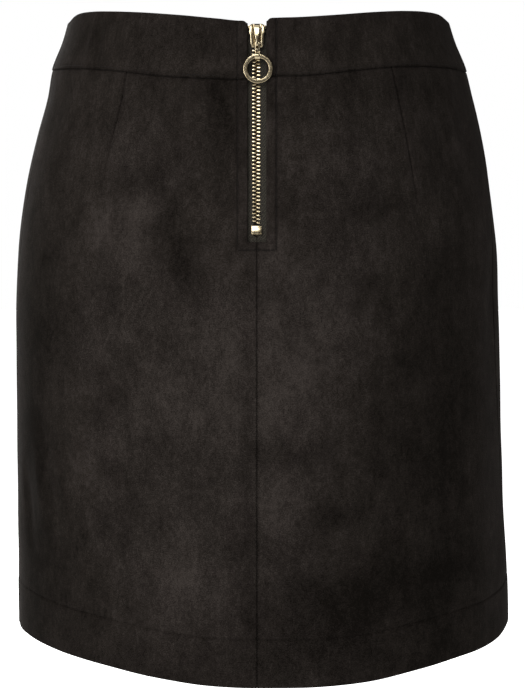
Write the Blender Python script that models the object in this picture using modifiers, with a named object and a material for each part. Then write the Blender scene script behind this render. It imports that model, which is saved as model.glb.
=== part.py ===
"""A faux-suede mini skirt, filled out as worn, with an exposed metal zip and ring pull at the centre back.

Units are metres and +Z is up. The centre back faces -Y and the wearer's right side is at +X. The origin is
the middle of the waist opening. A place on the cloth is a turn, in degrees round from the centre back
(+90 the right side, 180 the centre front, -90 the left side), and a drop, in millimetres down from the
highest point of the waist edge.
"""

from math import asin, atan2, cos, degrees, exp, pi, radians, sin

import bmesh
import bpy
import numpy as np
from mathutils import Matrix, Vector

MM = 0.001

# ---- Cloth thicknesses and seams, in millimetres ----
CLOTH = 1.5
TURNED_UP_CLOTH = 2.8
BAND_CLOTH = 2.4
BAND_PROUD = 0.6
SEAM_GAP = 0.3
HEM_TURN_UP = 32.0
HEM_STEP = 3.0
CORNER_DROP = 1.8
CORNER_REACH = 1.6

# ---- Level sections of the outside: half widths and half depths in millimetres. The side seams lie behind
# ---- the widest point, by so many degrees.
SECTION_COLUMNS = ("drop", "left", "right", "back", "front", "seam_left", "seam_right")
SECTIONS = (
    (0, 123.0, 124.4, 97.0, 91.0, 6.0, 5.0),
    (20, 128.8, 130.6, 100.5, 96.0, 7.0, 6.0),
    (38, 135.8, 138.2, 104.5, 100.0, 8.5, 7.0),
    (56, 139.2, 143.0, 108.3, 104.0, 10.0, 8.0),
    (80, 146.3, 148.7, 113.7, 108.5, 12.0, 9.0),
    (112, 153.8, 154.5, 119.6, 112.0, 12.5, 10.5),
    (152, 159.8, 159.9, 125.0, 115.0, 11.5, 12.5),
    (200, 162.6, 162.5, 129.2, 117.0, 10.0, 14.0),
    (260, 163.0, 164.7, 130.2, 119.0, 8.5, 13.0),
    (320, 163.4, 166.9, 129.6, 121.0, 7.5, 10.5),
    (375, 163.4, 170.7, 128.6, 122.0, 6.5, 8.0),
    (432, 163.7, 172.8, 127.8, 122.6, 6.0, 6.0),
)

# ---- Heights of the waist edge, the waistband seam and the hem round the skirt, as drops ----
EDGE_COLUMNS = ("turn", "waist", "seam", "hem")
EDGES = (
    (-180, 10.5, 42.0, 417.0),
    (-135, 9.5, 41.0, 415.5),
    (-105, 9.0, 40.2, 414.0),
    (-90, 8.6, 39.6, 413.6),
    (-80, 6.4, 38.5, 413.9),
    (-70, 1.8, 37.4, 414.2),
    (-60, 0.2, 36.6, 415.2),
    (-50, 0.0, 36.6, 416.6),
    (-38, 0.5, 37.8, 418.8),
    (-25, 1.9, 40.3, 422.6),
    (-12, 4.2, 41.4, 426.0),
    (-4, 5.7, 41.9, 426.9),
    (4, 4.0, 39.8, 427.1),
    (12, 3.4, 39.7, 427.3),
    (25, 1.8, 37.0, 425.9),
    (38, 0.2, 34.9, 421.8),
    (50, -0.3, 34.9, 418.9),
    (60, 0.2, 35.8, 417.6),
    (70, 2.0, 37.4, 415.9),
    (80, 6.3, 39.6, 412.9),
    (90, 8.6, 40.4, 412.4),
    (105, 9.0, 40.6, 413.2),
    (135, 9.5, 41.2, 415.3),
    (180, 10.5, 42.0, 417.0),
)

# ---- Soft folds: a ridge (height over 0) or a trough along a line from one place to another ----
# from_turn, from_drop, to_turn, to_drop, half_width, height
FOLDS = (
    (-17.0, 62, -15.5, 165, 11, 2.0),
    (-36.0, 108, -34.0, 175, 9, 1.5),
    (-27.0, 112, -25.0, 168, 9, 1.4),
    (-24.0, 185, -13.5, 260, 13, -1.6),
    (25.0, 175, 22.0, 275, 26, 2.0),
    (9.0, 306, 19.0, 288, 9, -1.7),
    (18.0, 350, 31.0, 326, 12, -2.2),
    (-15.0, 360, -14.0, 402, 22, 1.4),
    (-63.0, 280, -58.0, 335, 8, 1.7),
    (-70.0, 300, -66.0, 350, 7, -1.4),
    (60.0, 230, 56.0, 400, 22, 2.2),
    (74.0, 150, 71.0, 260, 14, -1.6),
    (152.0, 90, 149.0, 230, 15, 1.8),
    (203.0, 120, 206.0, 300, 18, 2.0),
    (176.0, 210, 178.0, 390, 24, -1.8),
    (232.0, 90, 228.0, 210, 13, -1.5),
    (128.0, 250, 124.0, 400, 18, 1.9),
)
GIRTH = 900.0
FOLD_AT_ENDS = 0.45

# ---- Darts that shape the back to the waist: the line of each, from the waistband seam to its end ----
DARTS = {
    -1: {"from_turn": 37.4, "from_drop": 38, "to_turn": 39.6, "to_drop": 100},
    1: {"from_turn": 38.4, "from_drop": 35, "to_turn": 40.9, "to_drop": 126},
}
DART_SINK = 0.5
DART_SPREAD = 1.1
DART_FADE = 25.0

# ---- Columns and rows of the cloth. Turns are counted from the centre back. ----
BACK_TURNS = (3.6, 7.0, 11.5, 16.5, 21.5, 26.5, 31.5, 34.8)
BACK_TURNS_PAST_DART = (43.5, 48.5, 53.5, 58.5, 63.5, 68.5, 73.0)
FRONT_STEP = 6.6
FRONT_STEP_AT_SEAM = 4.0
SEAM_MARGIN = 1.5
LEVELS_ABOVE_SLOT_END = (52, 66, 82, 100, 120)
LEVELS_BELOW_SLOT_END = (160, 180, 202, 226, 250, 274, 298, 322, 346, 366)
MARGIN_AT_SEAM = 3.0
SLOT_STEP = 0.6
HIP_DROP = 100.0

# ---- Zip, in millimetres. Depths are counted outwards from the cloth's outside. ----
SLOT_HALF_WIDTH = 5.8
SLOT_END = 142.0
TAPE_FACE = -2.15
TAPE_THICKNESS = 1.0
TAPE_OUTER_EDGE = 13.0
TAPE_TOP = 8.6
TAPE_END = 150.0
CHAIN_HALF_WIDTH = 3.3
CHAIN_FACE = -1.3
CHAIN_THICKNESS = 2.8
CHAIN_TOP = 12.7
ZIP_LEVELS = (20, 38, *LEVELS_ABOVE_SLOT_END)
BOTTOM_STOP = {"top": 132.2, "end": 137.7, "half_width": 3.15, "face": -1.0, "back": -4.2, "round": 0.5}
TOP_STOP = {"top": 8.9, "end": 10.4, "inner": 4.1, "outer": 5.5, "face": -0.6, "back": -1.85, "round": 0.3}

# ---- Slider: outline of its plates, seen from outside, as (drop, half width) ----
SLIDER_OUTLINE = ((7.6, 1.7), (9.0, 2.6), (10.8, 3.5), (12.6, 5.0), (14.2, 5.1), (21.8, 4.3), (22.8, 3.6))
FRONT_PLATE = (-0.8, 0.6)
BACK_PLATE = (-5.4, -4.4)
WEDGE_RADIUS = 1.6
WEDGE_DROP = 10.4
WEDGE_INSET = 0.5
# ---- Its arch, seen from the side as (drop, depth): a narrow strap and a wider hood at the top ----
STRAP_OUTLINE = (
    (8.3, 0.2), (8.3, 1.7), (9.3, 3.0), (11.0, 3.7), (13.5, 3.85), (20.2, 3.85), (21.6, 3.5), (22.4, 2.6),
    (22.4, 0.2), (21.3, 0.2), (21.3, 2.3), (20.7, 2.95), (14.4, 2.95), (12.6, 2.2), (12.6, 0.2),
)
HOOD_OUTLINE = (
    (8.0, 0.2), (8.0, 1.7), (9.0, 3.1), (10.8, 3.9), (13.4, 4.15), (15.4, 4.1), (16.8, 3.75), (16.8, 3.1),
    (14.2, 3.05), (12.8, 2.3), (12.8, 0.2),
)
STRAP_WIDTH = 1.2
HOOD_WIDTH = 3.4

# ---- Pull: a link hooked under the arch, and a ring hung in the link's eye ----
LINK_HINGE_DROP = 20.3
LINK_HINGE_DEPTH = 1.75
LINK_OFFSET = 0.3
LINK_HALF_WIDTH = 1.7
LINK_THICKNESS = 1.0
LINK_TOP = 0.55
LINK_END = -6.6
NECK_HOLE = {"top": -0.55, "end": -3.1, "half_width": 1.1}
LINK_WINDOW = {"top": -4.2, "end": -7.3, "half_width": 1.0, "depth": 12.0}
EYE_OUTER_RADIUS = 2.45
EYE_INNER_RADIUS = 1.85
RING_HINGE_DROP = 28.3
RING_DEPTH = 2.45
RING_RADIUS = 7.95
RING_BAND_RADIUS = 1.3
RING_OFFSET = 0.6

RING_SEGMENTS = 32
BAND_SEGMENTS = 8
ROUND_SEGMENTS = 20

MATERIALS = {
    "suede": {"colour": (0.0130, 0.0110, 0.0092), "roughness": 0.95, "metallic": 0.0},
    "zip_tape": {"colour": (0.0060, 0.0060, 0.0062), "roughness": 0.85, "metallic": 0.0},
    "gold_metal": {"colour": (0.62, 0.47, 0.24), "roughness": 0.28, "metallic": 1.0},
}


# ---- Reading the tables ----


def smooth_value(xs, ys, x):
    """The smooth curve through the points (xs, ys), read at x."""
    slopes = np.gradient(ys, xs)
    i = int(np.clip(np.searchsorted(xs, x) - 1, 0, len(xs) - 2))
    step = xs[i + 1] - xs[i]
    t = min(max((x - xs[i]) / step, 0.0), 1.0)
    start = ys[i] * (2 * t**3 - 3 * t**2 + 1) + slopes[i] * step * (t**3 - 2 * t**2 + t)
    end = ys[i + 1] * (3 * t**2 - 2 * t**3) + slopes[i + 1] * step * (t**3 - t**2)
    return start + end


def columns_of(names, rows):
    """The table as one array for each named column."""
    values = np.array(rows, dtype=float)
    return {name: values[:, k] for k, name in enumerate(names)}


SECTION = columns_of(SECTION_COLUMNS, SECTIONS)
EDGE = columns_of(EDGE_COLUMNS, EDGES)


def section(name, drop):
    return smooth_value(SECTION["drop"], SECTION[name], drop)


def edge(name, turn):
    return smooth_value(EDGE["turn"], EDGE[name], (turn + 180) % 360 - 180)


# ---- The cloth's outside ----


def plain_place(turn, drop):
    """The place on the unfolded form, in millimetres."""
    angle = radians(turn)
    width = section("right" if sin(angle) >= 0 else "left", drop)
    depth = section("back" if cos(angle) >= 0 else "front", drop)
    return Vector((width * sin(angle), -depth * cos(angle), -drop))


def outward(turn, drop):
    """The direction straight out of the unfolded form."""
    round_step = plain_place(turn + 0.5, drop) - plain_place(turn - 0.5, drop)
    down_step = plain_place(turn, drop + 2) - plain_place(turn, drop - 2)
    return down_step.cross(round_step).normalized()


def fold_height(turn, drop):
    """How far the folds lift the cloth here. Distances are along the cloth, in millimetres."""
    across = GIRTH / 360
    total = 0.0
    for from_turn, from_drop, to_turn, to_drop, half_width, height in FOLDS:
        middle = (from_turn + to_turn) / 2
        near_turn = middle + (turn - middle + 180) % 360 - 180
        run = Vector(((to_turn - from_turn) * across, to_drop - from_drop))
        here = Vector(((near_turn - from_turn) * across, drop - from_drop))
        share = min(max(here.dot(run) / run.length_squared, 0.0), 1.0)
        away = (here - share * run).length
        taper = FOLD_AT_ENDS + (1 - FOLD_AT_ENDS) * sin(share * pi)
        total += height * taper * exp(-((away / half_width) ** 2))
    return total


def place(turn, drop, lift=0.0):
    """A point of the cloth, lift millimetres out from its outside face, in metres."""
    out = outward(turn, drop)
    return (plain_place(turn, drop) + out * (fold_height(turn, drop) + lift)) * MM


def turn_at(across, drop):
    """The turn at which the form is so many millimetres to the side of the centre back."""
    width = section("right" if across >= 0 else "left", drop)
    return degrees(asin(across / width))


def seam_turn(side, drop):
    """Where the side seam lies, as a turn: side is -1 for the left and 1 for the right."""
    return 90 - section("seam_right" if side > 0 else "seam_left", drop)


def gap_turn(drop):
    """Half a seam's gap, as a turn."""
    return degrees(SEAM_GAP / 2 / section("back", drop))


# ---- Columns and rows ----


def dart_turn(side, drop):
    dart = DARTS[side]
    share = (drop - dart["from_drop"]) / (dart["to_drop"] - dart["from_drop"])
    return dart["from_turn"] + min(max(share, 0.0), 1.0) * (dart["to_turn"] - dart["from_turn"])


def dart_sink(side, turn, drop):
    """How far the cloth dips into the dart's seam line."""
    dart = DARTS[side]
    near = max(0.0, 1 - abs(abs(turn) - dart_turn(side, drop)) / DART_SPREAD)
    before_end = (dart["to_drop"] - drop) / DART_FADE
    return -DART_SINK * near * min(max(before_end, 0.0), 1.0)


def back_columns(side):
    """The columns of a back piece from the centre back to the side seam, each a turn that depends on drop."""

    def centre(drop):
        half_gap = SLOT_HALF_WIDTH if drop < SLOT_END else SEAM_GAP / 2
        return abs(turn_at(side * half_gap, drop))

    def seam(drop):
        return seam_turn(side, drop) - gap_turn(drop)

    columns = [centre]
    columns += [lambda drop, turn=turn: turn for turn in BACK_TURNS]
    for step in (-DART_SPREAD, 0, DART_SPREAD):
        columns.append(lambda drop, step=step: dart_turn(side, drop) + step)
    columns += [lambda drop, turn=turn: turn for turn in BACK_TURNS_PAST_DART]
    columns += [lambda drop: seam(drop) - SEAM_MARGIN, seam]
    if side > 0:
        return columns
    return [lambda drop, column=column: -column(drop) for column in reversed(columns)]


def front_columns():
    """The columns of a front piece, from the right side seam by way of the centre front to the left one."""

    def right_seam(drop):
        return seam_turn(1, drop) + gap_turn(drop)

    def left_seam(drop):
        return 360 - seam_turn(-1, drop) - gap_turn(drop)

    first = right_seam(0) + SEAM_MARGIN + FRONT_STEP_AT_SEAM
    last = left_seam(0) - SEAM_MARGIN - FRONT_STEP_AT_SEAM
    count = round((last - first) / FRONT_STEP)
    columns = [right_seam, lambda drop: right_seam(drop) + SEAM_MARGIN]
    for k in range(count + 1):
        columns.append(lambda drop, turn=first + (last - first) * k / count: turn)
    return columns + [lambda drop: left_seam(drop) - SEAM_MARGIN, left_seam]


def corner_round(turn):
    """How far the waist edge rounds down into the zip's slot."""
    if cos(radians(turn)) < 0:
        return 0.0
    past_slot = abs(plain_place(turn, 0).x) - SLOT_HALF_WIDTH
    return CORNER_DROP * exp(-((past_slot / CORNER_REACH) ** 2))


def band_rows():
    """The waistband's rows, each a drop that depends on turn: its edge, two in between and its seam."""

    def waist(turn):
        return edge("waist", turn) + corner_round(turn)

    def seam(turn):
        return edge("seam", turn) - SEAM_GAP / 2

    def between(share):
        return lambda turn: waist(turn) + share * (seam(turn) - MARGIN_AT_SEAM - waist(turn))

    return [waist, between(0.3), between(0.65), between(1.0), seam]


def panel_rows(levels):
    """A panel's rows: its seam, the given levels, the step where the hem's turn-up begins, and the hem."""
    rows = [lambda turn: edge("seam", turn) + SEAM_GAP / 2]
    rows += [lambda turn: edge("seam", turn) + SEAM_GAP / 2 + MARGIN_AT_SEAM]
    rows += [lambda turn, level=level: level for level in levels]
    for above in (HEM_TURN_UP + HEM_STEP / 2, HEM_TURN_UP - HEM_STEP / 2, HEM_TURN_UP / 2, 0.0):
        rows.append(lambda turn, above=above: edge("hem", turn) - above)
    return rows


# ---- Building pieces ----


def clear_scene():
    for obj in list(bpy.data.objects):
        bpy.data.objects.remove(obj, do_unlink=True)


def make_collection(name):
    collection = bpy.data.collections.new(name)
    bpy.context.scene.collection.children.link(collection)
    return collection


def make_material(name, colour, roughness, metallic):
    material = bpy.data.materials.new(name)
    material.use_nodes = True
    shader = material.node_tree.nodes["Principled BSDF"]
    shader.inputs["Base Color"].default_value = (*colour, 1.0)
    shader.inputs["Roughness"].default_value = roughness
    shader.inputs["Metallic"].default_value = metallic
    return material


def add_object(name, mesh, collection, material=None, parent=None):
    obj = bpy.data.objects.new(name, mesh)
    collection.objects.link(obj)
    if material:
        obj.data.materials.append(material)
    if parent:
        obj.parent = parent
    return obj


def sheet_mesh(name, columns, rows, lift, sink=None):
    """An open sheet through the crossings of columns and rows, its faces looking out of the skirt."""
    mesh = bpy.data.meshes.new(name)
    bm = bmesh.new()
    grid = []
    for column in columns:
        line = []
        for row in rows:
            drop = row(column(HIP_DROP))
            turn = column(drop)
            dip = sink(turn, drop) if sink else 0.0
            line.append(bm.verts.new(place(turn, drop, lift + dip)))
        grid.append(line)
    for left, right in zip(grid, grid[1:]):
        for k in range(len(rows) - 1):
            bm.faces.new((left[k], left[k + 1], right[k + 1], right[k]))
    bm.to_mesh(mesh)
    bm.free()
    mesh.shade_smooth()
    return mesh


def thicken(obj, thickness, group=""):
    solidify = obj.modifiers.new("cloth", "SOLIDIFY")
    solidify.thickness = thickness * MM
    solidify.offset = -1.0
    solidify.use_even_offset = True
    solidify.vertex_group = group


def waistband(name, columns):
    """A piece of the waistband, which stands a little proud of the panels."""
    obj = add_object(name, sheet_mesh(name, columns, band_rows(), BAND_PROUD), PARTS, MATERIAL["suede"])
    thicken(obj, BAND_CLOTH)


def panel(name, columns, levels, sink=None):
    """A panel, thicker where the hem is turned up on the inside."""
    rows = panel_rows(levels)
    obj = add_object(name, sheet_mesh(name, columns, rows, 0.0, sink), PARTS, MATERIAL["suede"])
    group = obj.vertex_groups.new(name="thickness")
    turned_up_rows = 3
    for k in range(len(obj.data.vertices)):
        turned_up = k % len(rows) >= len(rows) - turned_up_rows
        group.add([k], 1.0 if turned_up else CLOTH / TURNED_UP_CLOTH, "REPLACE")
    thicken(obj, TURNED_UP_CLOTH, group.name)


def zip_strip(name, edges, drops, face, thickness, material):
    """A strip that follows the centre back. Its edges are distances across that depend on drop."""
    columns = [lambda drop, side=side: turn_at(side(drop), drop) for side in edges]
    rows = [lambda turn, drop=drop: drop for drop in drops]
    obj = add_object(name, sheet_mesh(name, columns, rows, face), PARTS, MATERIAL[material])
    thicken(obj, thickness)


def outline_mesh(name, outlines, thickness):
    """A flat shape of the given thickness, from closed outlines (an inner one is a hole) as (x, y) points."""
    curve = bpy.data.curves.new(name, "CURVE")
    curve.dimensions = "2D"
    curve.fill_mode = "BOTH"
    curve.extrude = thickness / 2 * MM
    for outline in outlines:
        spline = curve.splines.new("POLY")
        spline.points.add(len(outline) - 1)
        for point, (x, y) in zip(spline.points, outline):
            point.co = (x * MM, y * MM, 0, 1)
        spline.use_cyclic_u = True
    guide = add_object(name, curve, HELPERS)
    evaluated = guide.evaluated_get(bpy.context.evaluated_depsgraph_get())
    mesh = bpy.data.meshes.new_from_object(evaluated)
    bpy.data.objects.remove(guide, do_unlink=True)
    bm = bmesh.new()
    bm.from_mesh(mesh)
    bmesh.ops.remove_doubles(bm, verts=bm.verts, dist=1e-6)
    bmesh.ops.recalc_face_normals(bm, faces=bm.faces)
    bm.to_mesh(mesh)
    bm.free()
    return mesh


def primitive_mesh(name, make, **sizes):
    mesh = bpy.data.meshes.new(name)
    bm = bmesh.new()
    make(bm, **sizes)
    bm.to_mesh(mesh)
    bm.free()
    return mesh


def block_mesh(name, size):
    return primitive_mesh(name, bmesh.ops.create_cube, size=1.0, matrix=Matrix.Diagonal((*size, 1.0)))


def rod_mesh(name, radius, length, along):
    """A round rod centred on its own origin; along is its axis, X or Y."""
    turned = Matrix.Rotation(radians(90), 4, "Y" if along == "X" else "X")
    return primitive_mesh(
        name, bmesh.ops.create_cone, cap_ends=True, segments=ROUND_SEGMENTS,
        radius1=radius, radius2=radius, depth=length, matrix=turned,
    )


def helper(name, mesh, parent, location=(0, 0, 0), rotation=(0, 0, 0)):
    """A shape that is joined to or cut from a piece, and isn't a piece itself."""
    obj = add_object(name, mesh, HELPERS, parent=parent)
    obj.location = location
    obj.rotation_euler = rotation
    obj.hide_render = True
    obj.display_type = "WIRE"
    return obj


def combine(obj, other, operation):
    modifier = obj.modifiers.new(other.name, "BOOLEAN")
    modifier.operation = operation
    modifier.solver = "EXACT"
    modifier.object = other


def shade(obj):
    obj.data.shade_smooth()
    obj.data.set_sharp_from_angle(angle=radians(40))


def seat(name, drop, depth, across=0.0):
    """An empty on the zip's line, its Z axis running up along the zip and its -Y axis out of the cloth."""
    empty = add_object(name, None, PARTS)
    empty.location = place(0, drop, depth) + Vector((across * MM, 0, 0))
    out = outward(0, drop)
    empty.rotation_euler.x = -atan2(out.z, -out.y)
    return empty


# ---- The skirt's pieces ----


def make_cloth():
    at_slot_end = (SLOT_END - SLOT_STEP / 2, SLOT_END + SLOT_STEP / 2)
    back_levels = (*LEVELS_ABOVE_SLOT_END, *at_slot_end, *LEVELS_BELOW_SLOT_END)
    front_levels = (*LEVELS_ABOVE_SLOT_END, SLOT_END, *LEVELS_BELOW_SLOT_END)
    for side, name in ((-1, "left"), (1, "right")):

        def sink(turn, drop, side=side):
            return dart_sink(side, turn, drop)

        columns = back_columns(side)
        panel(f"back_panel_{name}", columns, back_levels, sink)
        waistband(f"waistband_back_{name}", columns)
    panel("front_panel", front_columns(), front_levels)
    waistband("waistband_front", front_columns())


def make_zip_tapes():
    """Two tapes beside the chain, which meet below the bottom stop."""
    end = BOTTOM_STOP["end"]
    close = end + SLOT_STEP
    drops = (TAPE_TOP, *ZIP_LEVELS, close - SLOT_STEP / 2, close + SLOT_STEP / 2, TAPE_END)
    for side, name in ((-1, "left"), (1, "right")):

        def inner(drop, side=side):
            return side * (CHAIN_HALF_WIDTH + SEAM_GAP if drop < close else SEAM_GAP / 2)

        def middle(drop, side=side):
            return side * (SLOT_HALF_WIDTH + 1.0)

        def outer(drop, side=side):
            return side * TAPE_OUTER_EDGE

        edges = (inner, middle, outer) if side > 0 else (outer, middle, inner)
        zip_strip(f"zip_tape_{name}", edges, drops, TAPE_FACE, TAPE_THICKNESS, "zip_tape")


def make_zip_chain():
    drops = (CHAIN_TOP, *ZIP_LEVELS, BOTTOM_STOP["top"] - SEAM_GAP)
    sides = (lambda drop: -CHAIN_HALF_WIDTH, lambda drop: CHAIN_HALF_WIDTH)
    zip_strip("zip_chain", sides, drops, CHAIN_FACE, CHAIN_THICKNESS, "gold_metal")


def zip_stop(name, stop, half_width, across=0.0):
    """A block clamped on the zip, its edges rounded."""
    size = Vector((2 * half_width, stop["face"] - stop["back"], stop["end"] - stop["top"])) * MM
    frame = seat(f"{name}_seat", (stop["top"] + stop["end"]) / 2, (stop["face"] + stop["back"]) / 2)
    piece = add_object(name, block_mesh(name, size), PARTS, MATERIAL["gold_metal"], frame)
    piece.location.x = across * MM
    bevel = piece.modifiers.new("round", "BEVEL")
    bevel.width = stop["round"] * MM
    bevel.segments = 2
    shade(piece)


def make_zip_stops():
    zip_stop("zip_bottom_stop", BOTTOM_STOP, BOTTOM_STOP["half_width"])
    half_width = (TOP_STOP["outer"] - TOP_STOP["inner"]) / 2
    middle = (TOP_STOP["outer"] + TOP_STOP["inner"]) / 2
    zip_stop("zip_top_stop_left", TOP_STOP, half_width, -middle)
    zip_stop("zip_top_stop_right", TOP_STOP, half_width, middle)


def make_slider():
    """Two plates, the wedge that joins them, and the arch that the pull hooks under."""
    frame = seat("slider_seat", LINK_HINGE_DROP, 0.0)
    facing = (radians(90), 0, 0)
    sideways = (radians(90), 0, radians(90))

    def up(drop):
        return LINK_HINGE_DROP - drop

    half = [(width, up(drop)) for drop, width in SLIDER_OUTLINE]
    outline = half + [(-x, y) for x, y in reversed(half)]
    front_thickness = FRONT_PLATE[1] - FRONT_PLATE[0]
    back_thickness = BACK_PLATE[1] - BACK_PLATE[0]
    front = outline_mesh("front_plate", [outline], front_thickness)
    slider = add_object("zip_slider", front, PARTS, MATERIAL["gold_metal"], frame)
    slider.location.y = -sum(FRONT_PLATE) / 2 * MM
    slider.rotation_euler = facing
    back = helper("back_plate", outline_mesh("back_plate", [outline], back_thickness), frame,
                  (0, -sum(BACK_PLATE) / 2 * MM, 0), facing)
    wedge_length = FRONT_PLATE[1] - BACK_PLATE[0] - 2 * WEDGE_INSET
    wedge_middle = (FRONT_PLATE[1] + BACK_PLATE[0]) / 2
    wedge = helper("wedge", rod_mesh("wedge", WEDGE_RADIUS * MM, wedge_length * MM, "Y"), frame,
                   (0, -wedge_middle * MM, up(WEDGE_DROP) * MM))
    for other in (back, wedge):
        combine(slider, other, "UNION")
    for name, points, width in (("strap", STRAP_OUTLINE, STRAP_WIDTH), ("hood", HOOD_OUTLINE, HOOD_WIDTH)):
        side_view = [(-depth, up(drop)) for drop, depth in points]
        mesh = outline_mesh(name, [side_view], width)
        combine(slider, helper(name, mesh, frame, rotation=sideways), "UNION")
    shade(slider)


def box_outline(half_width, top, end):
    return [(-half_width, end), (half_width, end), (half_width, top), (-half_width, top)]


def ring_hinge_place():
    """Where the ring's hinge lies, seen from the link's hinge."""
    return Vector((0, LINK_HINGE_DEPTH - RING_DEPTH, LINK_HINGE_DROP - RING_HINGE_DROP)) * MM


def make_pull_link():
    """A flat link whose top bar lies under the arch, with an eye across its lower end for the ring."""
    hinge = seat("link_hinge", LINK_HINGE_DROP, LINK_HINGE_DEPTH, LINK_OFFSET)
    outer = box_outline(LINK_HALF_WIDTH, LINK_TOP, LINK_END)
    hole = box_outline(NECK_HOLE["half_width"], NECK_HOLE["top"], NECK_HOLE["end"])
    link = add_object("pull_link", outline_mesh("link", [outer, hole], LINK_THICKNESS), PARTS,
                      MATERIAL["gold_metal"], hinge)
    link.rotation_euler.x = radians(90)
    eye_place = ring_hinge_place()
    eye_width = 2 * LINK_HALF_WIDTH * MM
    eye = helper("eye", rod_mesh("eye", EYE_OUTER_RADIUS * MM, eye_width, "X"), hinge, eye_place)
    bore = helper("bore", rod_mesh("bore", EYE_INNER_RADIUS * MM, 2 * eye_width, "X"), hinge, eye_place)
    window = LINK_WINDOW
    size = Vector((2 * window["half_width"], window["depth"], window["top"] - window["end"])) * MM
    middle = (0, 0, (window["top"] + window["end"]) / 2 * MM)
    opening = helper("window", block_mesh("window", size), hinge, middle)
    combine(link, eye, "UNION")
    combine(link, bore, "DIFFERENCE")
    combine(link, opening, "DIFFERENCE")
    shade(link)
    return hinge


def make_pull_ring(link_hinge):
    """The ring hangs from the middle of its band, where the link's eye goes round it."""
    hinge = add_object("ring_hinge", None, PARTS, parent=link_hinge)
    hinge.location = ring_hinge_place()
    bpy.ops.mesh.primitive_torus_add(
        major_radius=RING_RADIUS * MM, minor_radius=RING_BAND_RADIUS * MM,
        major_segments=RING_SEGMENTS, minor_segments=BAND_SEGMENTS,
    )
    ring = bpy.context.object
    ring.name = "pull_ring"
    for collection in list(ring.users_collection):
        collection.objects.unlink(ring)
    PARTS.objects.link(ring)
    ring.data.materials.append(MATERIAL["gold_metal"])
    ring.parent = hinge
    ring.location = Vector((RING_OFFSET - LINK_OFFSET, 0, -RING_RADIUS)) * MM
    ring.rotation_euler.x = radians(90)
    shade(ring)


clear_scene()
PARTS = make_collection("mini_skirt")
HELPERS = make_collection("cutters")
HELPERS.hide_render = True
MATERIAL = {name: make_material(name, **finish) for name, finish in MATERIALS.items()}
make_cloth()
make_zip_tapes()
make_zip_chain()
make_zip_stops()
make_slider()
make_pull_ring(make_pull_link())
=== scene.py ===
# %% [markdown]
# # A faux-suede mini skirt, filled out as if worn
#
# The skirt is seen from behind: a shaped waistband, a dart in each half of the back, a seam down the centre
# back, an open metal zip with a ring pull, and a hem turned up on the inside. A plain solid model already
# holds its sizes and its two moving pieces. This file gives it its looks, one piece at a time.
#
# Blender works in metres and this file's sizes are in millimetres, so one factor turns one into the other.

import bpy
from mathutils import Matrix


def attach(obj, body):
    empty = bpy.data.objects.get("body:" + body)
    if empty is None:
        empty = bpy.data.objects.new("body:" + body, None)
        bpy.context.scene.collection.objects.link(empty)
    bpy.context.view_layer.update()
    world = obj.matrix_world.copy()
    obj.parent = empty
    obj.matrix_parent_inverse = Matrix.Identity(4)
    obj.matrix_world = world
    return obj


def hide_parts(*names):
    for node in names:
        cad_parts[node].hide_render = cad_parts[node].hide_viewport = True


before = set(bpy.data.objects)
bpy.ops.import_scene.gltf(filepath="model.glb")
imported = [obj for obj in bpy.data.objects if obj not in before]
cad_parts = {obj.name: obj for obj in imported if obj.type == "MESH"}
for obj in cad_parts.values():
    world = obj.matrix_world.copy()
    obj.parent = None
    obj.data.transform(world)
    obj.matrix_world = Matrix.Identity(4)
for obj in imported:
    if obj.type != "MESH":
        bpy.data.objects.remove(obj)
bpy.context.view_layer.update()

# %% Modules and the unit
from math import atan2, radians

import bmesh
import bpy
import numpy as np
from mathutils import Matrix, Vector

MM = 0.001

# %% [markdown]
# ## Where the camera stands
#
# The photograph is taken from about 1.6 m, level with the waist and looking slightly down, with a long
# lens. The camera comes first, so that every piece can be looked at from the right side. The picture's
# frame is 525 by 700, and the lens is worked out from how large the skirt stands in it.

# %% The camera
CAMERA_PLACE = (0.0034, -1.60, 0.002)
CAMERA_TILT = 8.161
CAMERA_LENS = 122.64

camera_data = bpy.data.cameras.new("camera")
camera_data.lens = CAMERA_LENS
camera_data.sensor_width = 36.0
camera_data.clip_start = 0.05
camera = bpy.data.objects.new("camera", camera_data)
camera.location = CAMERA_PLACE
camera.rotation_euler = (radians(90 - CAMERA_TILT), 0, 0)
bpy.context.scene.collection.objects.link(camera)
bpy.context.scene.camera = camera
print("camera with a lens of", CAMERA_LENS, "mm")

# %% [markdown]
# ## The cloth's form
#
# A worn skirt is a tube that follows the wearer: narrow and leaning at the waist, widest at the hips,
# nearly straight below. Each place on it is named by two numbers, as on a globe. The turn is the angle
# round from the centre back in degrees (+90 is the wearer's right side, 180 the centre front). The drop is
# how far down it lies, in millimetres, from the highest point of the waist edge. These are the solid
# model's own sections and edges, so the cloth lies where the solid is.

# %% Level sections of the cloth's outside, in millimetres
SECTION_NAMES = ("drop", "left", "right", "back", "front", "seam_left", "seam_right")
SECTION_ROWS = (
    (0, 123.0, 124.4, 97.0, 91.0, 6.0, 5.0),
    (20, 128.8, 130.6, 100.5, 96.0, 7.0, 6.0),
    (38, 135.8, 138.2, 104.5, 100.0, 8.5, 7.0),
    (56, 139.2, 143.0, 108.3, 104.0, 10.0, 8.0),
    (80, 146.3, 148.7, 113.7, 108.5, 12.0, 9.0),
    (112, 153.8, 154.5, 119.6, 112.0, 12.5, 10.5),
    (152, 159.8, 159.9, 125.0, 115.0, 11.5, 12.5),
    (200, 162.6, 162.5, 129.2, 117.0, 10.0, 14.0),
    (260, 163.0, 164.7, 130.2, 119.0, 8.5, 13.0),
    (320, 163.4, 166.9, 129.6, 121.0, 7.5, 10.5),
    (375, 163.4, 170.7, 128.6, 122.0, 6.5, 8.0),
    (432, 163.7, 172.8, 127.8, 122.6, 6.0, 6.0),
)
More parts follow.
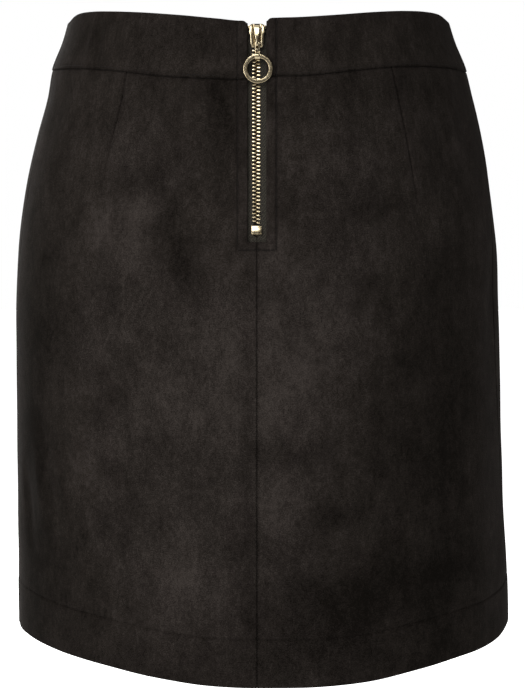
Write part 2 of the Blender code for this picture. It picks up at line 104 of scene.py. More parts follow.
# Heights of the waist edge, the waistband seam and the hem round the skirt, as drops
EDGE_NAMES = ("turn", "waist", "seam", "hem")
EDGE_ROWS = (
    (-180, 10.5, 42.0, 417.0), (-135, 9.5, 41.0, 415.5), (-105, 9.0, 40.2, 414.0), (-90, 8.6, 39.6, 413.6),
    (-80, 6.4, 38.5, 413.9), (-70, 1.8, 37.4, 414.2), (-60, 0.2, 36.6, 415.2), (-50, 0.0, 36.6, 416.6),
    (-38, 0.5, 37.8, 418.8), (-25, 1.9, 40.3, 422.6), (-12, 4.2, 41.4, 426.0), (-4, 5.7, 41.9, 426.9),
    (4, 4.0, 39.8, 427.1), (12, 3.4, 39.7, 427.3), (25, 1.8, 37.0, 425.9), (38, 0.2, 34.9, 421.8),
    (50, -0.3, 34.9, 418.9), (60, 0.2, 35.8, 417.6), (70, 2.0, 37.4, 415.9), (80, 6.3, 39.6, 412.9),
    (90, 8.6, 40.4, 412.4), (105, 9.0, 40.6, 413.2), (135, 9.5, 41.2, 415.3), (180, 10.5, 42.0, 417.0),
)


def named_columns(names, rows):
    values = np.array(rows, dtype=float)
    return {name: values[:, k] for k, name in enumerate(names)}


def smooth_value(xs, ys, x):
    """The smooth curve through the points (xs, ys), read at every x."""
    slopes = np.gradient(ys, xs)
    i = np.clip(np.searchsorted(xs, x) - 1, 0, len(xs) - 2)
    step = xs[i + 1] - xs[i]
    t = np.clip((x - xs[i]) / step, 0.0, 1.0)
    start = ys[i] * (2 * t**3 - 3 * t**2 + 1) + slopes[i] * step * (t**3 - 2 * t**2 + t)
    end = ys[i + 1] * (3 * t**2 - 2 * t**3) + slopes[i + 1] * step * (t**3 - t**2)
    return start + end


SECTIONS = named_columns(SECTION_NAMES, SECTION_ROWS)
EDGES = named_columns(EDGE_NAMES, EDGE_ROWS)


def section(name, drop):
    return smooth_value(SECTIONS["drop"], SECTIONS[name], drop)


def edge(name, turn):
    return smooth_value(EDGES["turn"], EDGES[name], (turn + 180) % 360 - 180)


print("sections:", len(SECTION_ROWS), "edge rows:", len(EDGE_ROWS))

# %% A point of the form, and the way straight out of it
def form(turn, drop):
    """Points of the unfolded form in millimetres, for arrays of turns and drops."""
    angle = np.radians(turn)
    width = np.where(np.sin(angle) >= 0, section("right", drop), section("left", drop))
    depth = np.where(np.cos(angle) >= 0, section("back", drop), section("front", drop))
    return np.stack((width * np.sin(angle), -depth * np.cos(angle), -drop + 0 * angle), axis=-1)


def outward(turn, drop):
    round_step = form(turn + 0.5, drop) - form(turn - 0.5, drop)
    down_step = form(turn, drop + 2) - form(turn, drop - 2)
    out = np.cross(down_step, round_step)
    return out / np.linalg.norm(out, axis=-1, keepdims=True)


print("centre back at the waist, mm:", form(np.array(0.0), np.array(5.0)).round(1))

# %% [markdown]
# ## Folds and creases
#
# Suede cloth with a body in it lies in broad soft folds, with smaller creases where it is handled. Each is
# a ridge or a trough along a line from one place to another, and fades towards both of its ends. A table of
# such lines is quick to read and to change, where a cloth simulation would give other folds than the
# ones seen. The first table is the solid model's own. The second adds the finer creases. Those on the
# hidden sides are of the same kind.

# %% Tables of folds and creases
# from_turn, from_drop, to_turn, to_drop, half_width, height
FOLDS = (
    (-17.0, 62, -15.5, 165, 11, 2.0), (-36.0, 108, -34.0, 175, 9, 1.5), (-27.0, 112, -25.0, 168, 9, 1.4),
    (-24.0, 185, -13.5, 260, 13, -1.6), (25.0, 175, 22.0, 275, 26, 2.0), (9.0, 306, 19.0, 288, 9, -1.7),
    (18.0, 350, 31.0, 326, 12, -2.2), (-15.0, 360, -14.0, 402, 22, 1.4), (-63.0, 280, -58.0, 335, 8, 1.7),
    (-70.0, 300, -66.0, 350, 7, -1.4), (60.0, 230, 56.0, 400, 22, 2.2), (74.0, 150, 71.0, 260, 14, -1.6),
    (152.0, 90, 149.0, 230, 15, 1.8), (203.0, 120, 206.0, 300, 18, 2.0), (176.0, 210, 178.0, 390, 24, -1.8),
    (232.0, 90, 228.0, 210, 13, -1.5), (128.0, 250, 124.0, 400, 18, 1.9),
)
CREASES = (
    (-52.5, 10, -50.0, 34, 3.6, -0.9), (-56.5, 12, -55.0, 30, 3.0, 0.5), (-46.0, 8, -45.0, 24, 2.6, -0.4),
    (-31.5, 118, -30.5, 160, 4.5, -0.8), (-40.5, 112, -39.0, 165, 4.0, -0.6),
    (-19.5, 118, -18.0, 182, 5.0, -0.9), (-9.5, 46, -10.5, 95, 6.0, -1.0),
    (-12.5, 100, -14.0, 150, 5.0, 0.5), (-45.0, 66, -42.0, 104, 4.0, 0.5),
    (-48.0, 262, -44.5, 292, 3.0, 0.5), (-51.0, 268, -46.5, 300, 2.6, -0.5),
    (-54.0, 282, -49.0, 318, 3.0, 0.6), (-58.0, 292, -53.0, 326, 2.6, -0.6),
    (-61.0, 262, -56.0, 290, 3.0, -0.5), (-40.0, 180, -38.5, 246, 4.0, 0.4),
    (-36.0, 196, -34.0, 268, 3.4, -0.4), (-30.0, 176, -27.0, 232, 4.2, 0.4),
    (-22.0, 246, -19.0, 300, 4.6, 0.35), (-7.5, 176, -5.0, 236, 4.0, 0.4),
    (-4.5, 190, -3.2, 260, 3.2, -0.35), (6.5, 150, 5.6, 220, 4.4, 0.45), (10.0, 52, 11.0, 110, 5.0, -0.4),
    (22.0, 46, 20.0, 92, 6.0, 0.5), (30.0, 60, 31.0, 118, 5.0, -0.4), (26.0, 104, 20.0, 126, 5.0, -0.5),
    (33.0, 98, 35.0, 140, 4.5, 0.4), (11.0, 270, 17.0, 258, 4.0, 0.6), (16.0, 300, 24.0, 286, 4.0, 0.5),
    (24.0, 322, 33.0, 306, 4.5, 0.6), (27.0, 372, 38.0, 352, 6.0, -0.7), (36.0, 200, 33.0, 268, 6.0, -0.5),
    (43.0, 60, 46.0, 120, 5.0, 0.5), (52.0, 74, 54.0, 140, 5.0, -0.5), (49.0, 250, 47.0, 330, 5.0, -0.5),
    (5.0, 330, 6.5, 388, 5.0, 0.4), (-9.0, 306, -11.0, 340, 5.0, -0.4), (-26.0, 318, -23.0, 372, 5.5, -0.4),
    (-38.0, 330, -35.0, 392, 5.0, 0.4), (64.0, 44, 66.0, 90, 4.0, -0.5), (84.0, 60, 83.0, 130, 4.0, 0.5),
    (97.0, 52, 99.0, 118, 4.5, -0.5), (108.0, 120, 106.0, 190, 5.0, 0.5),
    (118.0, 60, 121.0, 130, 5.0, -0.5), (134.0, 46, 136.0, 92, 4.5, 0.5),
    (141.0, 180, 138.0, 250, 5.0, -0.5), (158.0, 250, 163.0, 262, 5.0, -0.6),
    (160.0, 272, 170.0, 258, 5.0, 0.5), (166.0, 60, 165.0, 130, 5.0, 0.4),
    (184.0, 52, 186.0, 100, 5.0, -0.4), (193.0, 200, 196.0, 290, 5.0, 0.4),
    (212.0, 60, 214.0, 116, 5.0, 0.5), (218.0, 250, 226.0, 238, 5.0, -0.6),
    (222.0, 280, 232.0, 262, 4.5, 0.5), (240.0, 60, 242.0, 130, 5.0, -0.5),
    (250.0, 200, 247.0, 268, 5.0, 0.5), (258.0, 80, 260.0, 150, 4.5, -0.5),
    (268.0, 260, 266.0, 330, 5.0, 0.5), (252.0, 320, 256.0, 392, 5.0, -0.4),
    (200.0, 340, 198.0, 400, 5.5, 0.5), (150.0, 330, 153.0, 396, 5.5, -0.4),
)
GIRTH = 900.0
FOLD_AT_ENDS = 0.45
WAVES = ((0.11, 0.05, 0.4), (0.07, -0.09, 1.7), (0.15, 0.02, 2.9), (-0.05, 0.13, 4.1), (0.19, 0.08, 5.3))
WAVE_HEIGHT = 0.07


def line_heights(lines, turn, drop):
    """How far the lines lift the cloth at each place, in millimetres."""
    across = GIRTH / 360
    total = np.zeros(np.broadcast(turn, drop).shape)
    for from_turn, from_drop, to_turn, to_drop, half_width, height in lines:
        middle = (from_turn + to_turn) / 2
        near_turn = middle + (turn - middle + 180) % 360 - 180
        run = np.array(((to_turn - from_turn) * across, to_drop - from_drop))
        here_x = (near_turn - from_turn) * across
        here_y = drop - from_drop
        share = np.clip((here_x * run[0] + here_y * run[1]) / (run @ run), 0.0, 1.0)
        away = np.hypot(here_x - share * run[0], here_y - share * run[1])
        taper = FOLD_AT_ENDS + (1 - FOLD_AT_ENDS) * np.sin(share * np.pi)
        total += height * taper * np.exp(-((away / half_width) ** 2))
    return total


def fold_height(turn, drop):
    return line_heights(FOLDS, turn, drop)


def fine_height(turn, drop):
    """Creases, and the slight unevenness that no cloth is free of."""
    uneven = sum(np.sin(a * turn * GIRTH / 360 + b * drop + shift) for a, b, shift in WAVES)
    return line_heights(CREASES, turn, drop) + WAVE_HEIGHT * uneven


def place(turn, drop, lift=0.0, fine=True):
    """Points of the cloth in metres, lift millimetres out from its outside face."""
    height = fold_height(turn, drop) + lift
    if fine:
        height = height + fine_height(turn, drop)
    return (form(turn, drop) + outward(turn, drop) * height[..., None]) * MM


print("folds:", len(FOLDS), "finer creases:", len(CREASES))

# %% [markdown]
# ## Columns and rows
#
# Each piece of cloth is a grid of points, laid out as a cutter would: columns run down, rows run round.
# Cloth bends sharply only at its seams, folded edges and stitched lines, so the columns and rows lie close
# there and about two millimetres apart elsewhere. A column is a function that gives its turn at each drop,
# and a row one that gives its drop at each turn, because the seams and edges are not straight.

# %% Places of seams, darts and the zip's slot
SEAM_HALF_GAP = -0.03
SLOT_HALF_WIDTH = 5.8
SLOT_END = 142.0
HEM_TURN_UP = 32.0
STITCH_LINE = 12.2
STITCH_END = 146.9
DARTS = {
    -1: {"from_turn": 37.4, "from_drop": 38, "to_turn": 39.6, "to_drop": 100},
    1: {"from_turn": 38.4, "from_drop": 35, "to_turn": 40.9, "to_drop": 126},
}
SIDE_MM_PER_DEGREE = 2.2


def turn_at(across, drop):
    """The turn that lies so many millimetres to the side of the centre back."""
    width = np.where(across >= 0, section("right", drop), section("left", drop))
    return np.degrees(np.arcsin(across / width))


def side_seam(side, drop):
    """The side seam's turn, counted from the centre back towards that side."""
    return 90 - section("seam_right" if side > 0 else "seam_left", drop)


def right_side_seam(drop):
    return side_seam(1, drop)


def left_side_seam(drop):
    """The left side seam's turn, counted on round the front."""
    return 360 - side_seam(-1, drop)


def back_side_away(side, turn, drop):
    """How far a place of the back lies from its side seam, in millimetres."""
    return (side_seam(side, drop) - np.abs(turn)) * SIDE_MM_PER_DEGREE


def front_side_away(turn, drop):
    """How far a place of the front lies from the nearer side seam, in millimetres."""
    return np.minimum(turn - right_side_seam(drop), left_side_seam(drop) - turn) * SIDE_MM_PER_DEGREE


def dart_turn(side, drop):
    dart = DARTS[side]
    share = np.clip((drop - dart["from_drop"]) / (dart["to_drop"] - dart["from_drop"]), 0.0, 1.0)
    return dart["from_turn"] + share * (dart["to_turn"] - dart["from_turn"])


def level(drop):
    """A row, or a row's end, that lies at one drop all round."""
    return lambda turn: drop + 0 * turn


def shifted(line, step):
    return lambda x: line(x) + step


def between(first, last, count):
    """Lines that lie evenly spaced between two others, without the two."""
    return [lambda x, s=k / count: (1 - s) * first(x) + s * last(x) for k in range(1, count)]


print("stitched line", STITCH_LINE, "mm beside the centre back, slot", 2 * SLOT_HALF_WIDTH, "mm wide")

# %% The columns and rows of each kind of piece
NEAR_SEAM = (0.0, 0.12, 0.3, 0.55, 0.9, 1.5, 2.6)
NEAR_SLOT = (-0.03, 0.14, 0.32, 0.6, 1.1, 2.0, 3.2, 4.5, 5.8, 5.92, 6.08, 6.3, 6.6, 7.1, 7.9, 8.9, 9.9, 10.8,
             11.4, 11.8, 12.05, 12.2, 12.35, 12.6, 13.0, 13.7, 14.8, 16.4, 18.4)
BAND_FROM_SLOT = NEAR_SLOT[NEAR_SLOT.index(5.8):]
DART_STEPS = (-4.0, -2.6, -1.6, -0.9, -0.45, 0.0, 0.45, 0.9, 1.6, 2.6, 4.0)
ROWS_AT_SLOT_END = (139.6, 140.8, 141.5, 141.85, 142.0, 142.12, 142.3, 142.6, 143.2, 144.2, 145.4, 146.3,
                    146.7, 146.9, 147.1, 147.5, 148.3, 149.6, 151.4)
ROWS_AT_TURN_UP = (35.0, 33.6, 32.8, 32.3, 32.0, 31.6, 31.0, 29.6)
NEAR_HEM = (2.8, 1.9, 1.25, 0.75, 0.4, 0.15, 0.0)


def back_columns(side, across_steps, with_dart):
    def at(across):
        return lambda drop: side * turn_at(side * across, drop)

    def by_dart(step):
        return lambda drop: dart_turn(side, drop) + step / SIDE_MM_PER_DEGREE

    def by_seam(step):
        return lambda drop: side_seam(side, drop) - (SEAM_HALF_GAP + step) / SIDE_MM_PER_DEGREE

    columns = [at(across) for across in across_steps]
    if with_dart:
        columns += between(columns[-1], by_dart(DART_STEPS[0]), 36)
        columns += [by_dart(step) for step in DART_STEPS]
    columns += between(columns[-1], by_seam(NEAR_SEAM[-1]), 58 if with_dart else 98)
    return columns + [by_seam(step) for step in reversed(NEAR_SEAM)]


def front_columns():
    steps = [(SEAM_HALF_GAP + step) / SIDE_MM_PER_DEGREE for step in NEAR_SEAM]
    columns = [shifted(right_side_seam, step) for step in steps]
    columns += between(columns[-1], shifted(left_side_seam, -steps[-1]), 176)
    return columns + [shifted(left_side_seam, -step) for step in reversed(steps)]


def panel_rows():
    def below_seam(step):
        return lambda turn: edge("seam", turn) + SEAM_HALF_GAP + step

    def above_hem(step):
        return lambda turn: edge("hem", turn) - step

    rows = [below_seam(step) for step in NEAR_SEAM]
    rows += between(rows[-1], level(ROWS_AT_SLOT_END[0]), 42)
    rows += [level(drop) for drop in ROWS_AT_SLOT_END]
    rows += between(rows[-1], above_hem(ROWS_AT_TURN_UP[0]), 100)
    rows += [above_hem(step) for step in ROWS_AT_TURN_UP]
    rows += between(rows[-1], above_hem(NEAR_HEM[0]), 12)
    return rows + [above_hem(step) for step in NEAR_HEM]


def band_rows():
    def below_waist(step):
        return lambda turn: edge("waist", turn) + step

    def above_seam(step):
        return lambda turn: edge("seam", turn) - SEAM_HALF_GAP - step

    rows = [below_waist(step) for step in reversed(NEAR_HEM)]
    rows += between(rows[-1], above_seam(NEAR_SEAM[-1]), 16)
    return rows + [above_seam(step) for step in reversed(NEAR_SEAM)]


print("rows of a panel:", len(panel_rows()), "columns of the front:", len(front_columns()))

# %% [markdown]
# ## The small shapes of sewing
#
# What makes cloth look sewn is at its lines. At a seam both pieces roll inwards, so that a fine valley
# shows. At a folded edge (the waist, the slot and the hem) the cloth rolls right round. Beside the slot the
# edge is double as far as the stitched line, and the stitches sink into it. A dart is a narrow valley that
# runs out in a small dimple. The hem's turned-up edge presses through as a faint step.

# %% How far each line of sewing lifts or sinks the cloth
SEAM_ROLL = 1.0
SLOT_ROLL = 0.9
HEM_ROLL = 1.2
WAIST_ROLL = 1.15
FOLDED_EDGE_LIFT = 0.35
FOLDED_EDGE_RISE = 1.6
PUCKER = 0.09
PUCKER_LENGTH = 7.3
PUCKER_REACH = 4.0
# depth and half width of each valley
ZIP_GROOVE = (0.5, 0.6)
DART_GROOVE = (1.05, 0.55)
DART_DIMPLE = (0.35, 4.0)
HEM_GROOVE = (0.55, 0.8)
BAND_GROOVE = (0.14, 0.5)
# height and half width of the cloth that lies double over a dart, and the length over which a dart fades
DART_RIDGE = (0.22, 3.2)
DART_FADE = 22.0
HEM_STEP = 0.2
HEM_STITCH_STEP = 8.5


def roll(away, radius):
    """A quarter circle: how deep the cloth has rolled, away millimetres from its edge."""
    near = np.clip(away, 0.0, radius)
    return radius - np.sqrt(radius**2 - (radius - near) ** 2)


def groove(away, depth, half_width):
    return -depth * np.exp(-((away / half_width) ** 2))


def rise(away, length):
    """0 at the line and 1 from length millimetres on."""
    share = np.clip(away / length, 0.0, 1.0)
    return share * share * (3 - 2 * share)


def pucker(away, along):
    """The slight waves that a row of stitches draws into cloth."""
    phase = 2 * np.pi * along / PUCKER_LENGTH
    wave = np.sin(phase) + 0.6 * np.sin(phase / 1.7 + 1)
    return PUCKER * wave * np.exp(-np.abs(away) / PUCKER_REACH)


def slot_distance(across, drop):
    """From the slot's edge, in millimetres."""
    return np.hypot(np.maximum(across - SLOT_HALF_WIDTH, 0), np.maximum(drop - SLOT_END, 0))


def stitch_distances(across, drop):
    """From the row of stitches beside the slot, and from the one below it, in millimetres."""
    beside = np.hypot(across - STITCH_LINE, np.maximum(drop - STITCH_END, 0))
    below = np.hypot(np.maximum(across - STITCH_LINE, 0), drop - STITCH_END)
    return beside, below


def zip_sewing(across, drop):
    """The double edge beside the slot, and the line of stitches round it."""
    beside, below = stitch_distances(across, drop)
    line = np.minimum(beside, below)
    inside = (across < STITCH_LINE) & (drop < STITCH_END)
    double = FOLDED_EDGE_LIFT * np.where(inside, rise(line, FOLDED_EDGE_RISE), 0.0)
    return double + groove(line, *ZIP_GROOVE) + pucker(line, np.where(beside < below, drop, across))


def beside_dart(side, turn, drop):
    """Millimetres from the dart's line, and the dart's strength, which fades to 0 at its tip."""
    away = (np.abs(turn) - dart_turn(side, drop)) * SIDE_MM_PER_DEGREE
    return away, np.clip((DARTS[side]["to_drop"] - drop) / DART_FADE, 0.0, 1.0)


def dart_sewing(side, turn, drop):
    away, fade = beside_dart(side, turn, drop)
    tip = np.hypot(away / 1.6, (drop - DARTS[side]["to_drop"]) / 2.2)
    height, half_width = DART_RIDGE
    line = groove(away, *DART_GROOVE) + height * np.exp(-((away / half_width) ** 2)) + pucker(away, drop)
    return line * fade + groove(tip, *DART_DIMPLE)


def hem_sewing(turn, drop):
    above = edge("hem", turn) - HEM_TURN_UP - drop
    stitches = 0.5 + 0.5 * np.sin(turn * GIRTH / 360 * 2 * np.pi / HEM_STITCH_STEP)
    return HEM_STEP * rise(0.6 - above, 1.2) + groove(above, *HEM_GROOVE) * (0.6 + 0.4 * stitches)


print("a seam's valley is", SEAM_ROLL, "mm deep, the double edge stands", FOLDED_EDGE_LIFT, "mm proud")

# %% [markdown]
# ## Light and dark in the nap, and painted light and shade
#
# Suede has a short nap, and each stroke of a hand leaves part of it lying another way, which looks lighter
# or darker. Large clouds like these have their places on the skirt, so they are set as soft patches, and
# written on the cloth as an attribute that the material reads. Some patches are not nap but painted light
# and shade of the skirt's shape and seams. The finer clouds and wisps are noise in the material.

# %% Patches of lighter and darker nap, and of painted light and shade
# Not all rows are nap. Painted shade and light: the wide rows, darker at the waist and near the hem and
# lighter across the middle; the dark rows down the left edge, and down the right side, which are partly nap;
# the dark strip left of the centre back seam and the light one right of it; and the light rows just above
# the waistband seam with the dark ones below it.
# turn, drop, half width, half height, lean (mm across for each mm down), lightness
NAP_AND_SHADE_PATCHES = (
    (-39.6, 134, 12, 24, -0.1, 0.9), (-28.5, 134, 12, 22, -0.2, 0.85), (-7.3, 190, 22, 34, 0.2, 0.4),
    (11.3, 197, 30, 44, 0.0, 0.4), (9.1, 240, 28, 26, 0.0, 0.5), (4.0, 309, 14, 24, 0.2, 0.6),
    (-15.6, 362, 32, 30, 0.0, 0.7), (-44.5, 288, 14, 34, 0.1, 0.4), (9.5, 78, 26, 22, 0.2, 0.25),
    (-26.0, 81, 18, 14, 0.0, 0.3), (-17.5, 235, 14, 30, 0.3, 0.35), (33.0, 394, 26, 10, 0.0, 0.2),
    (-9.0, 64, 9, 28, 0.0, -0.7), (-17.3, 155, 11, 36, 0.3, -0.8), (-34.0, 108, 18, 12, 0.0, -0.3),
    (11.2, 276, 16, 11, -0.8, -0.8), (18.5, 318, 20, 12, -0.9, -0.9), (26.0, 362, 34, 18, -0.7, -0.7),
    (30.0, 244, 24, 50, -0.3, -0.6), (48.0, 270, 26, 130, 0.0, -0.8), (-5.0, 335, 16, 12, 0.0, -0.3),
    (-11.4, 312, 20, 10, 0.0, -0.35), (25.6, 120, 22, 14, -0.4, -0.35), (-53.0, 16, 7, 16, 0.4, -0.6),
    (52.0, 50, 34, 8, 0.0, -0.35), (-66.0, 280, 28, 170, 0.0, -1.3), (70.0, 200, 24, 130, 0.0, -0.3),
    (0.0, 15, 260, 55, 0.0, -0.40), (0.0, 420, 260, 62, 0.0, -0.45), (0.0, 250, 70, 80, 0.0, 0.25),
    (-48.0, 350, 34, 70, 0.0, -0.45), (44.0, 330, 34, 110, 0.0, -0.35), (14.0, 385, 40, 22, 0.0, -0.5),
    (-35.6, 72, 5, 30, -0.15, 0.35), (-2.2, 215, 5, 62, 0.0, -0.55), (3.0, 215, 6, 62, 0.0, 0.25),
    (-1.8, 330, 4.5, 80, 0.0, -0.35), (-10.3, 47, 14, 8, 0.0, -0.4), (-10.3, 33, 14, 5, 0.0, 0.55),
    (-19, 32, 12, 5, 0.0, 0.3), (11.8, 29, 13, 6, 0.0, 0.55), (24, 47, 14, 12, 0.0, -0.45),
    (-27, 106, 34, 34, 0.0, -0.25), (12, 228, 24, 30, 0.0, -0.2), (30.0, 330, 20, 70, -0.3, -0.3),
    (-50.0, 210, 30, 60, 0.0, -0.3), (34.0, 395, 40, 30, 0.0, -0.5), (96.0, 120, 18, 36, 0.2, 0.4),
    (118.0, 210, 24, 46, -0.2, 0.5), (141.0, 120, 20, 30, 0.2, -0.5), (160.0, 300, 28, 40, -0.3, 0.55),
    (178.0, 150, 26, 42, 0.0, 0.45), (190.0, 340, 20, 26, 0.4, -0.55), (205.0, 210, 22, 44, 0.2, -0.4),
    (226.0, 130, 20, 36, -0.2, 0.5), (240.0, 300, 26, 44, 0.2, 0.45), (258.0, 190, 16, 40, 0.0, -0.5),
    (132.0, 360, 26, 20, -0.4, -0.5), (275.0, 350, 18, 40, 0.0, 0.3),
)
# how much darker the cloth is along its sewing: the nap pressed flat, and painted shade in the seams'
# valleys
PRESSED_NAP_AND_SHADE = 0.65
PRESSED_AND_SHADED_BY_ZIP = 0.3
ZIP_SHADE_REACH = 0.6


def pressed_and_shaded(away, reach):
    """How much a line of sewing darkens the cloth away millimetres from it, as pressed nap and painted
    shade: 1 at the line.
    """
    return np.exp(-((away / reach) ** 2))


# Pressed nap and painted shade along the zip's stitches.
def pressed_and_shaded_by_zip(across, drop):
    return PRESSED_AND_SHADED_BY_ZIP * pressed_and_shaded(np.minimum(*stitch_distances(across, drop)), ZIP_SHADE_REACH)


def nap_and_shade(turn, drop):
    across = GIRTH / 360
    total = np.zeros(turn.shape)
    for at_turn, at_drop, half_width, half_height, lean, lightness in NAP_AND_SHADE_PATCHES:
        down = drop - at_drop
        side = ((turn - at_turn + 180) % 360 - 180) * across - lean * down
        total += lightness * np.exp(-((side / half_width) ** 2) - (down / half_height) ** 2)
    return total


print("nap patches:", len(NAP_AND_SHADE_PATCHES))

# %% [markdown]
# ## From a grid to a piece of cloth
#
# A piece is two skins, the right side and the wrong side, joined by a rim wherever the grid ends. The skins
# are made from arrays, because there are tens of thousands of points. A UV map in real millimetres runs
# across and down the cloth, so that the nap in the material follows it.

# %% Building one piece of cloth
CLOTH = 1.5


def cloth_piece(name, turns, drops, outer, inner, left_out=None, backing=None, sewn_light_and_shade=0.0):
    """A closed shell through a grid of places. outer and inner are lifts from the form in millimetres.
    left_out marks the cells of a hole, and backing those whose wrong side shows its backing."""
    columns, rows = turns.shape
    fine = fine_height(turns, drops)
    skins = [place(turns, drops, height + fine, fine=False).reshape(-1, 3) for height in (outer, inner)]
    number = np.arange(columns * rows).reshape(columns, rows)
    quads = np.stack((number[:-1, :-1], number[:-1, 1:], number[1:, 1:], number[1:, :-1]), axis=-1)
    if turns[-1, 0] < turns[0, 0]:
        quads = quads[..., ::-1]
    shown = np.ones(quads.shape[:2], dtype=bool) if left_out is None else ~left_out
    kept = quads[shown]
    sides = np.concatenate([kept[:, [k, (k + 1) % 4]] for k in range(4)])
    both = {tuple(side) for side in sides.tolist()}
    rim = np.array(sorted(side for side in both if side[::-1] not in both))
    size = columns * rows
    rim = np.stack((rim[:, 1], rim[:, 0], rim[:, 0] + size, rim[:, 1] + size), axis=-1)
    faces = np.concatenate((kept, kept[:, ::-1] + size, rim))
    mesh = bpy.data.meshes.new(name)
    mesh.from_pydata(np.concatenate(skins).tolist(), [], faces.tolist())
    flat = np.stack((turns * GIRTH / 360, -drops), axis=-1).reshape(-1, 2) * MM
    flat = np.concatenate((flat, flat))
    corners = np.empty(len(mesh.loops), dtype=np.int32)
    mesh.loops.foreach_get("vertex_index", corners)
    mesh.uv_layers.new(name="cloth").uv.foreach_set("vector", flat[corners].ravel().astype(np.float32))
    # The attribute holds the nap patches, with their painted light and shade, less the pressed nap and
    # painted shade along the sewing.
    lightness = np.tile((nap_and_shade(turns, drops) - PRESSED_NAP_AND_SHADE * sewn_light_and_shade).ravel(), 2).astype(np.float32)
    mesh.attributes.new("nap_and_shade", "FLOAT", "POINT").data.foreach_set("value", lightness)
    finish = np.zeros(len(faces), dtype=np.int32)
    if backing is not None:
        finish[len(kept):2 * len(kept)] = backing[shown]
    mesh.polygons.foreach_set("material_index", finish)
    mesh.shade_smooth()
    bm = bmesh.new()
    bm.from_mesh(mesh)
    bmesh.ops.delete(bm, geom=[vertex for vertex in bm.verts if not vertex.link_faces], context="VERTS")
    bm.to_mesh(mesh)
    bm.free()
    obj = bpy.data.objects.new(name, mesh)
    bpy.context.scene.collection.objects.link(obj)
    print(name, "has", len(mesh.polygons), "faces")
    return obj


def grid(columns, rows, middle_drop=100.0, side=1):
    """Turns and drops where the columns and rows cross. Columns count from the centre back to the side."""
    drops = np.full((len(columns), len(rows)), middle_drop)
    for _ in range(3):
        turns = side * np.stack([column(drops[k]) for k, column in enumerate(columns)])
        drops = np.stack([row(turns[:, k]) for k, row in enumerate(rows)], axis=1)
    return turns, drops


print("cloth", CLOTH, "mm thick")

# %% [markdown]
# ## Finishes
#
# Five finishes cover the whole object: suede, its knitted backing, woven zip tape, gold-coloured metal and
# thread. Each is built from Blender's noise and wave textures, at the scale of the real thing. The cloth's
# textures read its UV map in metres, so the nap lies along the cloth, and the metal's read object
# coordinates.

# %% Helpers for node materials
def new_material(name):
    material = bpy.data.materials.new(name)
    material.use_nodes = True
    return material, material.node_tree, material.node_tree.nodes["Principled BSDF"]


def add_node(tree, kind, inputs=None, **settings):
    """A node of one kind. inputs gives socket values or the sockets they come from."""
    node = tree.nodes.new(kind)
    for key, value in settings.items():
        setattr(node, key, value)
    for key, value in (inputs or {}).items():
        if isinstance(value, bpy.types.NodeSocket):
            tree.links.new(value, node.inputs[key])
        else:
            node.inputs[key].default_value = value
    return node


def math(tree, operation, first, second=0.0, third=0.0):
    node = add_node(tree, "ShaderNodeMath", {0: first, 1: second, 2: third}, operation=operation)
    return node.outputs[0]


def noise(tree, coordinates, size, detail=2.0, stretch=(1.0, 1.0, 1.0), shift=(0.0, 0.0, 0.0), rough=0.5):
    """Noise whose blots are about size millimetres across, longer along an axis whose stretch is over 1."""
    scale = tuple(1 / (size * MM * s) for s in stretch)
    mapped = add_node(tree, "ShaderNodeMapping", {"Vector": coordinates, "Scale": scale, "Location": shift})
    values = {"Vector": mapped.outputs[0], "Scale": 1.0, "Detail": detail, "Roughness": rough}
    return add_node(tree, "ShaderNodeTexNoise", values).outputs["Fac"]


def ramp(tree, factor, stops):
    """Colours between stops of (position, colour)."""
    node = add_node(tree, "ShaderNodeValToRGB", {"Fac": factor})
    elements = node.color_ramp.elements
    while len(elements) < len(stops):
        elements.new(0.5)
    for element, (position, colour) in zip(elements, stops):
        element.position = position
        element.color = (*colour, 1.0)
    return node.outputs["Color"]


def bump(tree, height, strength, distance):
    values = {"Height": height, "Strength": strength, "Distance": distance * MM}
    return add_node(tree, "ShaderNodeBump", values).outputs["Normal"]


def wave(tree, coordinates, scale, distortion, direction):
    values = {"Vector": coordinates, "Scale": scale, "Distortion": distortion}
    return add_node(tree, "ShaderNodeTexWave", values, bands_direction=direction).outputs["Fac"]


def cloth_map(tree):
    return add_node(tree, "ShaderNodeUVMap", uv_map="cloth").outputs["UV"]


def own_place(tree):
    return add_node(tree, "ShaderNodeTexCoord").outputs["Object"]


def surface(tree, shader, colour, normal, values):
    """The colour and the bumps are linked, and the constant sockets are set."""
    tree.links.new(colour, shader.inputs["Base Color"])
    tree.links.new(normal, shader.inputs["Normal"])
    for socket, value in values.items():
        shader.inputs[socket].default_value = value


print("helpers ready")

# %% [markdown]
# Suede is dyed evenly, so what varies is how the nap lies, with the painted light and shade of some patches.
# Three sizes of noise make the nap: clouds where the cloth was stroked, fine upright wisps along the nap,
# and a speckle as small as the nap's tufts. The patches are added to them, and the sum chooses between a
# near-black and a warm grey-brown. The surface is quite matt, with a little sheen at grazing angles from the
# standing fibres.

# %% Suede
suede, tree, shader = new_material("suede_nap")
cloth_uv = cloth_map(tree)
patches = add_node(tree, "ShaderNodeAttribute", attribute_name="nap_and_shade").outputs["Fac"]
clouds = noise(tree, cloth_uv, 30, 4.0, stretch=(1.0, 1.25, 1.0), rough=0.55)
streaks = noise(tree, cloth_uv, 8, 3.0, stretch=(1.0, 2.1, 1.0), shift=(3.1, 0.7, 0.0), rough=0.6)
wisps = noise(tree, cloth_uv, 2.2, 3.0, stretch=(1.0, 1.8, 1.0), shift=(7.3, 2.2, 0.0), rough=0.65)
speckle = noise(tree, cloth_uv, 0.85, 2.0, shift=(1.4, 5.5, 0.0), rough=0.75)
